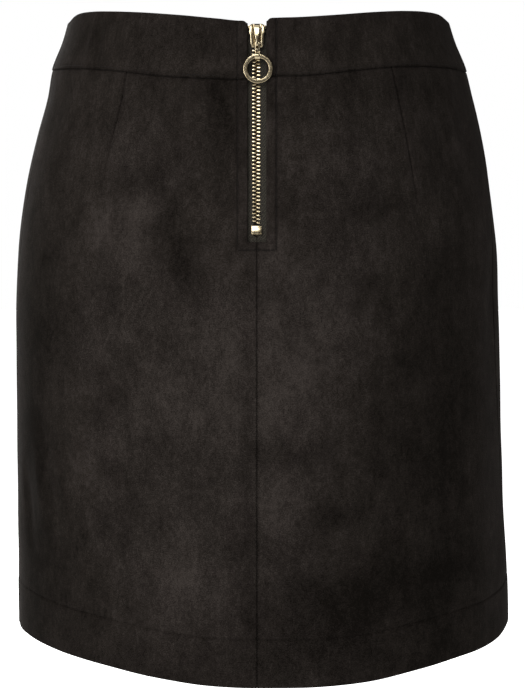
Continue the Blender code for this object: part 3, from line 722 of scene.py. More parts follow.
# The patches bring the nap's large clouds and the painted light and shade.
lightness = math(tree, "MULTIPLY_ADD", patches, 0.30, 0.5)
for part, share in ((clouds, 0.56), (streaks, 0.56), (wisps, 0.66), (speckle, 1.2)):
    centred = math(tree, "SUBTRACT", part, 0.5)
    lightness = math(tree, "MULTIPLY_ADD", centred, share, lightness)
colour = ramp(tree, lightness, (
    (0.05, (0.0036, 0.0027, 0.0021)), (0.50, (0.0150, 0.0121, 0.0104)), (0.98, (0.0400, 0.0329, 0.0290)),
))
nap_height = math(tree, "MULTIPLY_ADD", wisps, 0.5, speckle)
surface(tree, shader, colour, bump(tree, nap_height, 0.6, 0.3), {
    "Roughness": 1.0, "Specular IOR Level": 0.04, "Sheen Weight": 0.02, "Sheen Roughness": 0.5,
    "Sheen Tint": (0.62, 0.55, 0.48, 1.0),
})
print("suede has", len(tree.nodes), "nodes")

# %% Knitted backing of the suede, as seen inside the skirt
backing, tree, shader = new_material("knit_backing")
cloth_uv = cloth_map(tree)
knit_across = wave(tree, cloth_uv, 240.0, 0.6, "X")
knit_down = wave(tree, cloth_uv, 300.0, 0.9, "Y")
knit = math(tree, "MULTIPLY", knit_across, knit_down)
fuzz = noise(tree, cloth_uv, 1.2, 3.0)
shade_of_knit = math(tree, "MULTIPLY_ADD", fuzz, 0.6, math(tree, "MULTIPLY", knit, 0.5))
colour = ramp(tree, shade_of_knit, ((0.1, (0.010, 0.0088, 0.0078)), (0.8, (0.034, 0.030, 0.027))))
surface(tree, shader, colour, bump(tree, knit, 0.5, 0.2), {"Roughness": 0.9, "Specular IOR Level": 0.15})
print("backing has", len(tree.nodes), "nodes")

# %% [markdown]
# The zip tape is a tight twill: fine ribs that run aslant, dark, coloured lighter on their crests as painted
# shade between them, with pale flecks that are painted glints. The thread is twisted, and its slanting bands
# are coloured darker in the twist's grooves, which is painted shade. The metal is pale gold, bright on its
# bevelled edges and a little darker and duller in patches where the plating has dulled.

# %% Zip tape, thread and gold-coloured metal
tape_finish, tree, shader = new_material("twill_tape")
cloth_uv = cloth_map(tree)
slant = {"Vector": cloth_uv, "Rotation": (0.0, 0.0, radians(28))}
slanted = add_node(tree, "ShaderNodeMapping", slant).outputs[0]
twill = wave(tree, slanted, 420.0, 1.4, "Y")
glint_flecks = noise(tree, cloth_uv, 0.7, 2.0, shift=(2.0, 9.0, 0.0), rough=0.7)
# The ribs' crests are coloured lighter, painted shade between them, and the flecks are painted glints of the
# weave.
woven = math(tree, "MULTIPLY_ADD", twill, 0.55, math(tree, "MULTIPLY", glint_flecks, 0.75))
colour = ramp(tree, woven, (
    (0.34, (0.0007, 0.0006, 0.0005)), (0.66, (0.0022, 0.0019, 0.0016)), (0.90, (0.085, 0.076, 0.060)),
))
surface(tree, shader, colour, bump(tree, woven, 0.7, 0.2), {"Roughness": 0.7, "Specular IOR Level": 0.08})

thread, tree, shader = new_material("twisted_thread")
twist_and_shade = wave(tree, own_place(tree), 900.0, 0.5, "DIAGONAL")
# The twist's bands are coloured darker in its grooves: painted shade.
colour = ramp(tree, twist_and_shade, ((0.0, (0.0035, 0.003, 0.0026)), (1.0, (0.0135, 0.0115, 0.010))))
surface(tree, shader, colour, bump(tree, twist_and_shade, 0.6, 0.06), {"Roughness": 0.7, "Specular IOR Level": 0.12})

gold, tree, shader = new_material("pale_gold")
metal_place = own_place(tree)
dull = noise(tree, metal_place, 1.6, 3.0, rough=0.6)
grain = noise(tree, metal_place, 0.25, 2.0)
colour = ramp(tree, dull, ((0.30, (0.33, 0.265, 0.155)), (0.70, (0.60, 0.505, 0.345))))
rubbed = math(tree, "MULTIPLY_ADD", grain, 0.14, math(tree, "MULTIPLY_ADD", dull, 0.12, 0.10))
tree.links.new(rubbed, shader.inputs["Roughness"])
surface(tree, shader, colour, bump(tree, grain, 0.08, 0.05), {"Metallic": 1.0})
print("finishes:", [finish.name for finish in (suede, backing, tape_finish, thread, gold)])

# %% Putting a piece on the model
def settle(piece, body, finishes, node=None):
    """The piece gets its finishes, rides on its body, and stands for a node of the solid model."""
    piece.data.materials.clear()
    for finish in finishes:
        piece.data.materials.append(finish)
    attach(piece, body)
    if node:
        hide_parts(node)

# %% [markdown]
# ## The panels
#
# Two back panels and one front panel. Each gets its lift from the folds first, then from what is sewn at
# its edges. The wrong side lies one thickness further in, and at the hem the turned-up layer makes it
# nearly double.

# %% Two back panels and the front
TURNED_UP_CLOTH = 2.8


def panel_heights(turns, drops, side_away):
    """Lifts of the right side and the wrong side that every panel has."""
    from_seam = drops - edge("seam", turns)
    from_hem = edge("hem", turns) - drops
    right_side = -roll(from_seam, SEAM_ROLL) - roll(side_away, SEAM_ROLL) - roll(from_hem, HEM_ROLL)
    right_side += hem_sewing(turns, drops)
    right_side += pucker(from_seam, turns * GIRTH / 360) + 0.7 * pucker(side_away, drops)
    turned_up = rise(HEM_TURN_UP - from_hem, 1.0)
    wrong_side = -CLOTH - (TURNED_UP_CLOTH - CLOTH) * turned_up + roll(from_hem, HEM_ROLL)
    return right_side, wrong_side


def above_turn_up(turns, drops):
    """The cells of the grid whose wrong side isn't covered by the turned-up hem."""
    return (edge("hem", turns) - drops)[:-1, :-1] > HEM_TURN_UP


def pressed_and_shaded_on_panel(turns, drops, side_away):
    """Where the waistband's seam, the side seam and the hem's stitches press a panel's nap and paint shade
    along it.
    """
    below_seam = pressed_and_shaded(drops - edge("seam", turns), 1.0)
    hem_line = pressed_and_shaded(edge("hem", turns) - HEM_TURN_UP - drops, 0.9)
    return below_seam + 0.8 * pressed_and_shaded(side_away, 1.0) + 0.4 * hem_line


def back_panel(side, name):
    turns, drops = grid(back_columns(side, NEAR_SLOT, with_dart=True), panel_rows(), side=side)
    across = np.abs(form(turns, drops)[..., 0])
    side_away = back_side_away(side, turns, drops)
    right_side, wrong_side = panel_heights(turns, drops, side_away)
    below = drops >= SLOT_END
    right_side -= np.where(below, roll(across, SEAM_ROLL), 0.0)
    right_side -= roll(slot_distance(across, drops), SLOT_ROLL)
    right_side += zip_sewing(across, drops) + dart_sewing(side, turns, drops)
    right_side += np.where(below, pucker(across, drops), 0.0)
    wrong_side += roll(slot_distance(across, drops), CLOTH / 3)
    dart_away, dart_fade = beside_dart(side, turns, drops)
    # Pressed nap and painted shade along the seams, the zip's stitches, the centre back below the slot and
    # the dart.
    sewn_light_and_shade = pressed_and_shaded_on_panel(turns, drops, side_away) + pressed_and_shaded_by_zip(across, drops)
    sewn_light_and_shade += np.where(below, pressed_and_shaded(across, 0.8), 0.0) + 0.6 * dart_fade * pressed_and_shaded(dart_away, 0.7)
    slot_columns = NEAR_SLOT.index(SLOT_HALF_WIDTH)
    left_out = np.zeros((turns.shape[0] - 1, turns.shape[1] - 1), dtype=bool)
    left_out[:slot_columns] = drops[:slot_columns, 1:] <= SLOT_END
    backed = above_turn_up(turns, drops)
    return cloth_piece(name, turns, drops, right_side, wrong_side, left_out, backed, sewn_light_and_shade)


def front_panel(name):
    turns, drops = grid(front_columns(), panel_rows())
    side_away = front_side_away(turns, drops)
    right_side, wrong_side = panel_heights(turns, drops, side_away)
    sewn_light_and_shade = pressed_and_shaded_on_panel(turns, drops, side_away)
    backed = above_turn_up(turns, drops)
    return cloth_piece(name, turns, drops, right_side, wrong_side, None, backed, sewn_light_and_shade)


panels = {
    "back_panel_left": back_panel(-1, "cloth_back_left"),
    "back_panel_right": back_panel(1, "cloth_back_right"),
    "front_panel": front_panel("cloth_front"),
}

# %% [markdown]
# ## The waistband
#
# The band is a double strip, stiffer than the panels, so it stands a little proud of them and has fewer
# folds. Its upper edge is a fold that rolls over to the inside. Its lower edge is sewn to the panels and
# edge-stitched just above the seam.

# %% Three pieces of waistband
BAND_CLOTH = 2.4
BAND_PROUD = 0.6
BAND_STITCH_LINE = 1.7
CORNER_DROP = 1.8
CORNER_REACH = 1.6
CORNER_FADE = 12.0


def band_piece(name, turns, drops, side_away, across=None):
    from_waist = drops - edge("waist", turns)
    from_seam = edge("seam", turns) - drops
    right_side = BAND_PROUD - roll(from_waist, WAIST_ROLL) - roll(from_seam, SEAM_ROLL)
    right_side -= roll(side_away, SEAM_ROLL)
    right_side += groove(from_seam - BAND_STITCH_LINE, *BAND_GROOVE)
    right_side += 0.8 * pucker(from_seam, turns * GIRTH / 360)
    wrong_side = BAND_PROUD - BAND_CLOTH + roll(from_waist, WAIST_ROLL) + roll(from_seam, CLOTH / 3)
    # Pressed nap and painted shade along the seam, less a painted highlight on the band a few millimetres
    # above it.
    sewn_light_and_shade = pressed_and_shaded(from_seam, 0.9) - 0.3 * pressed_and_shaded(from_seam - 4.5, 2.5)
    if across is not None:
        sewn_light_and_shade += pressed_and_shaded_by_zip(across, drops)
        right_side += zip_sewing(across, drops) - roll(across - SLOT_HALF_WIDTH, SLOT_ROLL)
        wrong_side += roll(across - SLOT_HALF_WIDTH, SLOT_ROLL)
        corner = np.exp(-(((across - SLOT_HALF_WIDTH) / CORNER_REACH) ** 2))
        drops = drops + CORNER_DROP * corner * (1 - rise(from_waist, CORNER_FADE))
    return cloth_piece(name, turns, drops, right_side, wrong_side, sewn_light_and_shade=sewn_light_and_shade)


def back_band(side, name):
    turns, drops = grid(back_columns(side, BAND_FROM_SLOT, with_dart=False), band_rows(), 20.0, side)
    across = np.abs(form(turns, drops)[..., 0])
    return band_piece(name, turns, drops, back_side_away(side, turns, drops), across)


def front_band(name):
    turns, drops = grid(front_columns(), band_rows(), 20.0)
    return band_piece(name, turns, drops, front_side_away(turns, drops))


bands = {
    "waistband_back_left": back_band(-1, "cloth_band_left"),
    "waistband_back_right": back_band(1, "cloth_band_right"),
    "waistband_front": front_band("cloth_band_front"),
}

# %% The cloth takes its finishes
for node, piece in {**panels, **bands}.items():
    settle(piece, "skirt", (suede, backing), node)
print("cloth pieces:", len(panels) + len(bands))

# %% [markdown]
# ## Inside the skirt
#
# Where two panels meet, their cut edges are pressed open and lie flat on the wrong side. They show when one
# looks in at the waist or the hem, so each seam gets its two strips, a little uneven as cut cloth is.

# %% Seam allowances
ALLOWANCE = 9.5
ALLOWANCE_OUTER = -1.58
ALLOWANCE_INNER = -2.4
ALLOWANCE_END = 33.5
ALLOWANCE_STEPS = (0.25, 1.2, 3.0, 5.0, 7.0, 8.6, ALLOWANCE)
CURL = 0.35
CURL_LENGTH = 11.0


def allowance(name, at_seam, direction, from_drop):
    """A strip from the seam's turn, direction 1 towards larger turns."""
    steps = ALLOWANCE_STEPS if direction > 0 else reversed(ALLOWANCE_STEPS)
    columns = [shifted(at_seam, direction * step / SIDE_MM_PER_DEGREE) for step in steps]
    top, end = level(from_drop), lambda turn: edge("hem", turn) - ALLOWANCE_END
    turns, drops = grid(columns, [top] + between(top, end, 110) + [end])
    from_seam = np.abs(turns - at_seam(drops)) * SIDE_MM_PER_DEGREE
    curl = CURL * np.sin(drops / CURL_LENGTH) * rise(from_seam - 4.0, 5.5)
    slope = rise(from_seam, 9.0)
    return cloth_piece(name, turns, drops, ALLOWANCE_OUTER - 0.2 * slope,
                       ALLOWANCE_INNER - 0.35 * slope - np.abs(curl))


def left_seam_from_back(drop):
    return -side_seam(-1, drop)


def centre_back(drop):
    return 0 * drop


SEAM_START = 44.0
allowances = {
    "back_panel_left": [
        allowance("allowance_centre_left", centre_back, -1, STITCH_END + 2.0),
        allowance("allowance_side_back_left", left_seam_from_back, 1, SEAM_START),
    ],
    "back_panel_right": [
        allowance("allowance_centre_right", centre_back, 1, STITCH_END + 2.0),
        allowance("allowance_side_back_right", right_side_seam, -1, SEAM_START),
    ],
    "front_panel": [
        allowance("allowance_side_front_left", left_side_seam, -1, SEAM_START),
        allowance("allowance_side_front_right", right_side_seam, 1, SEAM_START),
    ],
}
for strips in allowances.values():
    for strip in strips:
        settle(strip, "skirt", (backing,))

# %% [markdown]
# ## How much cloth each piece takes
#
# The area is printed for what shows: each panel and each strip of waistband, as half the area of its whole
# shell, with its turned-in edges and rim.

# %% Areas of the cloth pieces
def surface_area(piece):
    """The area of one layer of a piece, in square metres."""
    return sum(face.area for face in piece.data.polygons) / 2


for node, piece in {**panels, **bands}.items():
    print(node, "one layer", round(surface_area(piece), 4), "m2")

# %% [markdown]
# ## The zip
#
# The zip is a metal-toothed one, sewn in so that it shows. Two woven tapes lie behind the slot, each with a
# bead along its inner edge that the teeth are clamped on. All its hard pieces sit on one line down the
# centre back, so each is modelled upright at the origin, with x across, z up and -y out of the cloth, and
# then put in its place by a matrix, so that its place ends in its mesh.

# %% Zip tapes with their beads
TAPE_FACE = -2.15
TAPE_THICKNESS = 1.0
TAPE_OUTER_EDGE = 13.0
TAPE_TOP = 8.6
TAPE_END = 150.0
CHAIN_SHIFT = -0.5
BEAD_INNER = 1.55
BEAD_HALF = 0.75
STOP_END = 137.7
TEETH_TOP = 14.6
TAPE_STEPS = (0.0, 0.12, 0.35, 0.75, 1.15, 1.4, 1.6, 2.1, 3.2, 4.6)


def tape(side, name):
    def inner(drop):
        joined = rise(drop - STOP_END, 1.2)
        return side * CHAIN_SHIFT * (1 - joined) + BEAD_INNER * (1 - joined) + 0.12 * joined

    def outer(drop):
        return np.abs(turn_at(side * TAPE_OUTER_EDGE, drop))

    columns = [lambda drop, s=step: np.abs(turn_at(side * (inner(drop) + s), drop)) for step in TAPE_STEPS]
    columns += between(columns[-1], outer, 5) + [outer]
    top, stop, end = level(TAPE_TOP), level(STOP_END - 0.6), level(TAPE_END)
    rows = [top] + between(top, stop, 86) + [stop]
    rows += [level(STOP_END + below) for below in (0, 0.4, 0.8, 1.2, 3)]
    rows += between(rows[-1], end, 6) + [end]
    turns, drops = grid(columns, rows, side=side)
    across = np.abs(form(turns, drops)[..., 0])
    from_inner = across - inner(drops)
    bead = np.sqrt(np.clip(1 - ((from_inner - BEAD_HALF) / BEAD_HALF) ** 2, 0, None))
    bead = BEAD_HALF * bead * (1 - rise(drops - STOP_END + 1.0, 2.0))
    middle = TAPE_FACE - TAPE_THICKNESS / 2
    outer_face = np.maximum(TAPE_FACE - roll(from_inner, 0.3), middle + bead)
    inner_face = np.minimum(TAPE_FACE - TAPE_THICKNESS + roll(from_inner, 0.3), middle - bead)
    return cloth_piece(name, turns, drops, outer_face, inner_face)


tapes = {"zip_tape_left": tape(-1, "woven_tape_left"), "zip_tape_right": tape(1, "woven_tape_right")}
for node, piece in tapes.items():
    settle(piece, "skirt", (tape_finish,), node)

# %% Helpers for modelling by hand, in code
def deselect_all():
    bpy.ops.object.select_all(action="DESELECT")


def take(obj):
    """The piece alone is selected, and the one that operators act on."""
    deselect_all()
    obj.select_set(True)
    bpy.context.view_layer.objects.active = obj


def start(kind, name, **sizes):
    """A primitive to shape, its size and place in its mesh. Sizes are in metres."""
    deselect_all()
    getattr(bpy.ops.mesh, f"primitive_{kind}_add")(**sizes)
    obj = bpy.context.object
    bpy.ops.object.transform_apply(location=True, rotation=True, scale=True)
    obj.name = name
    obj.data.name = name
    return obj


def cuboid(name, size, centre=(0, 0, 0)):
    """A block of a size round a centre, both in millimetres."""
    return start("cube", name, size=1.0, location=[c * MM for c in centre], scale=[s * MM for s in size])


def edit(obj, *steps):
    """Enter edit mode on the piece, take the steps in turn, and leave it."""
    take(obj)
    bpy.ops.object.mode_set(mode="EDIT")
    for step in steps:
        step(obj)
    bpy.ops.object.mode_set(mode="OBJECT")


def pick(obj, kind, test):
    """In edit mode, select the vertices, edges or faces whose place or direction passes the test."""
    bpy.ops.mesh.select_mode(type=kind)
    bpy.ops.mesh.select_all(action="DESELECT")
    bm = bmesh.from_edit_mesh(obj.data)
    elements = {"VERT": bm.verts, "EDGE": bm.edges, "FACE": bm.faces}[kind]
    for element in elements:
        if test(element):
            element.select_set(True)
    bmesh.update_edit_mesh(obj.data)


def cut_at(axis, value):
    """A step that cuts the whole mesh by a plane across one axis, value in millimetres."""
    normal = [0, 0, 0]
    normal["xyz".index(axis)] = 1
    middle = [value * MM * n for n in normal]

    def step(obj):
        bpy.ops.mesh.select_mode(type="VERT")
        bpy.ops.mesh.select_all(action="SELECT")
        bpy.ops.mesh.bisect(plane_co=middle, plane_no=normal)

    return step


def level_resized(axis, value, sizes, centre=(0.0, 0.0, 0.0)):
    """A step that resizes the vertices on one level across an axis."""
    k = "xyz".index(axis)

    def step(obj):
        pick(obj, "VERT", lambda vertex: abs(vertex.co[k] - value * MM) < 0.02 * MM)
        bpy.ops.transform.resize(value=sizes, center_override=centre)

    return step


def extruded(test, move):
    """A step that extrudes the faces that pass the test, move in millimetres."""
    def step(obj):
        pick(obj, "FACE", test)
        bpy.ops.mesh.extrude_region_move(TRANSFORM_OT_translate={"value": [m * MM for m in move]})

    return step


def faces_outwards(obj):
    bpy.ops.mesh.select_all(action="SELECT")
    bpy.ops.mesh.remove_doubles(threshold=0.005 * MM)
    bpy.ops.mesh.normals_make_consistent(inside=False)


def apply_modifier(obj, kind, **settings):
    modifier = obj.modifiers.new(kind.lower(), kind)
    for key, value in settings.items():
        setattr(modifier, key, value)
    take(obj)
    bpy.ops.object.modifier_apply(modifier=modifier.name)


def rounded(obj, width, segments=2, angle=30):
    apply_modifier(obj, "BEVEL", width=width * MM, segments=segments, limit_method="ANGLE",
                   angle_limit=radians(angle), harden_normals=False)


def combined(obj, other, operation):
    """The other shape is joined to the piece or cut from it, and is gone after that."""
    apply_modifier(obj, "BOOLEAN", object=other, operation=operation, solver="EXACT")
    bpy.data.objects.remove(other)


def joined(name, pieces):
    take(pieces[0])
    for piece in pieces[1:]:
        piece.select_set(True)
    bpy.ops.object.join()
    bpy.context.object.name = name
    bpy.context.object.data.name = name
    return bpy.context.object


def smooth(obj, angle=40):
    take(obj)
    bpy.ops.object.shade_smooth_by_angle(angle=radians(angle))


def copies(name, unit, matrices):
    """One piece of as many copies of the unit as there are matrices. Each copy has its own mesh first."""
    made = []
    for matrix in matrices:
        copy = unit.copy()
        copy.data = unit.data.copy()
        copy.data.transform(matrix)
        if matrix.determinant() < 0:
            copy.data.flip_normals()
        bpy.context.scene.collection.objects.link(copy)
        made.append(copy)
    bpy.data.objects.remove(unit)
    return joined(name, made)


HINGE_DROP = 20.3


def zip_matrix(drop, depth=0.0, across=0.0):
    """The place and lean of a thing on the zip's line."""
    at = Vector(place(np.array(0.0), np.array(float(drop)), depth, fine=False)) + Vector((across * MM, 0, 0))
    out = outward(np.array(0.0), np.array(float(drop)))
    return Matrix.Translation(at) @ Matrix.Rotation(-atan2(out[2], -out[1]), 4, "X")


hinge_out = outward(0.0, HINGE_DROP)
print("the zip's line leans", round(-atan2(hinge_out[2], -hinge_out[1]), 4), "rad at its slider")

# %% [markdown]
# A tooth is a small stamped bar: its outer end grips the tape's bead, and its head reaches a little past
# the middle, between two heads of the other side. One tooth is modelled and copied along both tapes, with
# the right-hand row half a pitch lower. It has few faces, as it is repeated a hundred times.

# %% Teeth
PITCH = 2.33
TEETH_END = 131.4
TOOTH_DEPTH = -2.65
TOOTH_SIZE = (3.2, 2.5, 1.12)
TOOTH_TURNED = 7
TOOTH_TIPPED = -10


def make_tooth():
    tooth = cuboid("tooth", TOOTH_SIZE, (1.15, 0, 0))
    edit(tooth, cut_at("x", 0.55), cut_at("x", 1.5),
         level_resized("x", -0.45, (1, 0.62, 0.60)),
         level_resized("x", 0.55, (1, 0.92, 0.92)),
         level_resized("x", 2.75, (1, 1.0, 0.82)))
    rounded(tooth, 0.3, segments=1, angle=35)
    smooth(tooth, 35)
    return tooth


tooth = make_tooth()
tooth_faces = len(tooth.data.polygons)
tilt = Matrix.Rotation(radians(TOOTH_TURNED), 4, "Y") @ Matrix.Rotation(radians(TOOTH_TIPPED), 4, "X")
mirror = Matrix.Diagonal((-1, 1, 1, 1))
rows_of_teeth = []
for k in range(int((TEETH_END - TEETH_TOP) / PITCH)):
    drop = TEETH_TOP + k * PITCH
    rows_of_teeth.append(zip_matrix(drop, TOOTH_DEPTH, CHAIN_SHIFT) @ mirror @ tilt)
    rows_of_teeth.append(zip_matrix(drop + PITCH / 2, TOOTH_DEPTH, CHAIN_SHIFT) @ tilt)
teeth = copies("metal_teeth", tooth, rows_of_teeth)
settle(teeth, "skirt", (gold,), "zip_chain")
print(len(rows_of_teeth), "teeth of", tooth_faces, "faces")

# %% [markdown]
# At the lower end a bent metal box holds both tapes together, and at the upper end of each row a small stop
# keeps the slider from coming off.

# %% Box stop and top stops
BOX_STOP_DROP = 134.95
BOX_STOP_DEPTH = -2.6
BOX_STOP_TIPPED = -13
TOP_STOP_DROP = 9.5
TOP_STOP_DEPTH = -1.25
TOP_STOP_ACROSS = 4.85


def on_box_front(face):
    return face.normal.y < -0.9 and -2.0 * MM < face.calc_center_median().z < 1.5 * MM


def make_box_stop():
    stop = cuboid("box_stop", (6.3, 3.2, 5.5))
    edit(stop, cut_at("z", 1.6), cut_at("z", -2.1), extruded(on_box_front, (0, -0.18, 0)))
    rounded(stop, 0.35, segments=3)
    smooth(stop)
    return stop


def make_top_stop(name):
    stop = cuboid(name, (1.5, 1.35, 2.1))
    edit(stop, cut_at("z", 0.4), level_resized("z", 1.05, (0.82, 0.9, 1)),
         level_resized("z", -1.05, (0.9, 1, 1)))
    rounded(stop, 0.25, segments=2)
    smooth(stop)
    return stop


box_stop = make_box_stop()
box_stop.data.transform(zip_matrix(BOX_STOP_DROP, BOX_STOP_DEPTH, CHAIN_SHIFT / 2)
                        @ Matrix.Rotation(radians(BOX_STOP_TIPPED), 4, "X"))
settle(box_stop, "skirt", (gold,), "zip_bottom_stop")
for side, name in ((-1, "left"), (1, "right")):
    top_stop = make_top_stop(f"top_stop_{name}")
    top_stop.data.transform(zip_matrix(TOP_STOP_DROP, TOP_STOP_DEPTH, side * TOP_STOP_ACROSS))
    settle(top_stop, "skirt", (gold,), f"zip_top_stop_{name}")
print("stops made")

# %% [markdown]
# ## The slider
#
# The slider is cast: two plates shaped like a shield, joined inside by a wedge that spreads the teeth. The
# front plate is crowned, thickest where it is widest, and has a raised rail down each side. Over it stands
# the arch that the pull hooks under. The plates start as blocks that are cut at the outline's levels and
# resized there, so that the outline is one short table.

# %% Plates and wedge
# height above the hinge, half width, the front plate's thickness there as a share of FRONT_THICK
SLIDER_LEVELS = (
    (12.9, 3.2, 0.45), (12.2, 4.4, 0.56), (10.0, 4.8, 0.86), (7.4, 4.95, 1.18), (5.9, 4.25, 1.22),
    (2.0, 4.05, 1.10), (-1.2, 3.75, 0.90), (-2.1, 3.1, 0.80),
)
FRONT_DEPTH = -0.1
FRONT_THICK = 1.3
BACK_DEPTH = -4.9
BACK_THICK = 1.0
MIDDLE_CUTS = (-0.60, 0.60)
RAIL_INNER = 2.2
RAIL_FOOT = -0.5
RAIL_TOP = 12.0
RAIL_PROUD = 0.75
WEDGE_Y = 2.5
WEDGE_HEIGHT = 9.9


def on_rail(face):
    middle = face.calc_center_median()
    return (face.normal.y < -0.9 and abs(middle.x) > RAIL_INNER * MM
            and RAIL_FOOT * MM < middle.z < RAIL_TOP * MM)


def make_plate(name, thickness, rails):
    """A plate whose outline is SLIDER_LEVELS. Only the front one is crowned and has rails."""
    top = SLIDER_LEVELS[0][0]
    foot = SLIDER_LEVELS[-1][0]
    plate = cuboid(name, (2, thickness, top - foot), (0, 0, (top + foot) / 2))
    steps = [cut_at("z", level) for level, _, _ in SLIDER_LEVELS[1:-1]]
    steps += [cut_at("x", x) for x in MIDDLE_CUTS]
    for level, half_width, crown in SLIDER_LEVELS:
        share = crown if rails else 1
        back = (0, thickness / 2 * MM, level * MM)
        steps.append(level_resized("z", level, (half_width, share, 1), back))
    if rails:
        steps.append(extruded(on_rail, (0, -RAIL_PROUD, 0)))
    edit(plate, *steps)
    rounded(plate, 0.42, segments=2, angle=25)
    return plate


front_plate = make_plate("front_plate", FRONT_THICK, rails=True)
front_plate.data.transform(Matrix.Translation((0, -FRONT_DEPTH * MM, 0)))
back_plate = make_plate("back_plate", BACK_THICK, rails=False)
back_plate.data.transform(Matrix.Translation((0, -BACK_DEPTH * MM, 0)))
wedge_middle = (0, WEDGE_Y * MM, WEDGE_HEIGHT * MM)
wedge = start("cylinder", "wedge", vertices=24, radius=1.5 * MM, depth=4.6 * MM,
              location=wedge_middle, rotation=(radians(90), 0, 0))
edit(wedge, cut_at("y", WEDGE_Y), level_resized("y", WEDGE_Y, (0.86, 1, 0.86), wedge_middle))
print("plates have", len(front_plate.data.polygons), "and", len(back_plate.data.polygons), "faces")

# %% [markdown]
# The arch is bent like a bridge, from the plate's top over the link's bar and down to its foot. It starts
# as a single face at the plate's top, which is extruded from place to place along the bend, turned and made
# narrower on the way.

# %% Arch over the plate
# height above the hinge, how far out, half width, half thickness
ARCH_PATH = (
    (12.1, -0.4, 1.95, 0.85), (11.9, 1.3, 1.95, 0.62), (11.1, 2.20, 1.92, 0.55), (9.6, 2.70, 1.85, 0.52),
    (7.2, 3.12, 1.70, 0.50), (5.0, 3.44, 1.45, 0.48), (3.6, 3.50, 1.10, 0.46), (2.4, 3.42, 0.80, 0.45),
    (0.0, 3.40, 0.66, 0.45), (-0.9, 3.15, 0.66, 0.45), (-1.65, 2.45, 0.68, 0.45), (-1.8, 1.4, 0.72, 0.45),
    (-1.8, 0.2, 0.80, 0.50),
)


def make_arch():
    arch = start("plane", "arch", size=1.0)
    path = [(Vector((0, -out * MM, height * MM)), half_width * MM, half_thick * MM)
            for height, out, half_width, half_thick in ARCH_PATH]

    def corners(k):
        """The four corners of the arch's section at one place of its path."""
        middle, half_width, half_thick = path[k]
        before = path[max(k - 1, 0)][0]
        after = path[min(k + 1, len(path) - 1)][0]
        side = Vector((1, 0, 0))
        up = side.cross((after - before).normalized())
        return [middle + side * x * half_width + up * y * half_thick
                for x, y in ((-1, -1), (1, -1), (1, 1), (-1, 1))]

    def along_path(obj):
        bm = bmesh.from_edit_mesh(obj.data)
        bm.faces.ensure_lookup_table()
        for vertex, corner in zip(bm.faces[0].verts, corners(0)):
            vertex.co = corner
        bmesh.update_edit_mesh(obj.data)
        for k in range(1, len(path)):
            here = path[k - 1][0]
            bpy.ops.mesh.select_mode(type="FACE")
            bpy.ops.mesh.select_all(action="DESELECT")
            bm = bmesh.from_edit_mesh(obj.data)
            min(bm.faces, key=lambda face: (face.calc_center_median() - here).length).select_set(True)
            bmesh.update_edit_mesh(obj.data)
            bpy.ops.mesh.extrude_region_move(TRANSFORM_OT_translate={"value": path[k][0] - here})
            bm = bmesh.from_edit_mesh(obj.data)
            for vertex in [vertex for vertex in bm.verts if vertex.select]:
                vertex.co = min(corners(k), key=lambda corner: (corner - vertex.co).length)
            bmesh.update_edit_mesh(obj.data)
        bpy.ops.mesh.select_all(action="SELECT")
        bpy.ops.mesh.normals_make_consistent(inside=False)

    edit(arch, along_path)
    rounded(arch, 0.22, segments=2, angle=50)
    apply_modifier(arch, "SUBSURF", levels=1, render_levels=1)
    return arch


slider = joined("slider_body", [front_plate, back_plate, wedge, make_arch()])
smooth(slider, 42)
slider.data.transform(zip_matrix(HINGE_DROP))
settle(slider, "skirt", (gold,), "zip_slider")
print("slider has", len(slider.data.polygons), "faces")

# %% [markdown]
# ## The pull
#
# A flat link hooks under the arch with its top bar, so it swings there, and an eye across its lower end
# holds the ring. The link is a block with two holes cut through it, and the eye is a bored rod joined to
# it. The ring is turned metal: its band has a flat face with chamfered edges, so it starts as a square
# whose corners are bevelled, and is spun once round.

# %% Link
LINK_DEPTH = 1.75
LINK_ACROSS = 0.3
RING_HINGE_DROP = 28.3
RING_DEPTH = 2.45
EYE_Z = HINGE_DROP - RING_HINGE_DROP
EYE_Y = LINK_DEPTH - RING_DEPTH


def block(name, half_width, depth, top, end):
    return cuboid(name, (2 * half_width, depth, top - end), (0, 0, (top + end) / 2))


def make_link():
    link = block("link_plate", 1.55, 0.95, 0.55, -6.7)
    edit(link, cut_at("z", -3.4), cut_at("z", -4.0), level_resized("z", -3.4, (0.94, 1, 1)),
         level_resized("z", -4.0, (0.94, 1, 1)), level_resized("z", -6.7, (1.08, 1, 1)))
    combined(link, block("neck_hole", 0.98, 4.0, -0.5, -3.1), "DIFFERENCE")
    rod = {"vertices": 40, "rotation": (0, radians(90), 0), "location": (0, EYE_Y * MM, EYE_Z * MM)}
    eye = start("cylinder", "eye", radius=2.42 * MM, depth=3.3 * MM, **rod)
    combined(link, eye, "UNION")
    combined(link, start("cylinder", "bore", radius=1.86 * MM, depth=8 * MM, **rod), "DIFFERENCE")
    combined(link, block("window", 0.9, 14.0, -4.2, -7.2), "DIFFERENCE")
    rounded(link, 0.16, segments=2, angle=35)
    smooth(link, 35)
    return link


link = make_link()
link.data.transform(zip_matrix(HINGE_DROP, LINK_DEPTH, LINK_ACROSS))
settle(link, "link", (gold,), "pull_link")
print("link has", len(link.data.polygons), "faces")

# %% Ring
RING_RADIUS = 7.95
RING_ACROSS = 0.6
BAND_ACROSS = 2.5
BAND_DEEP = 2.3


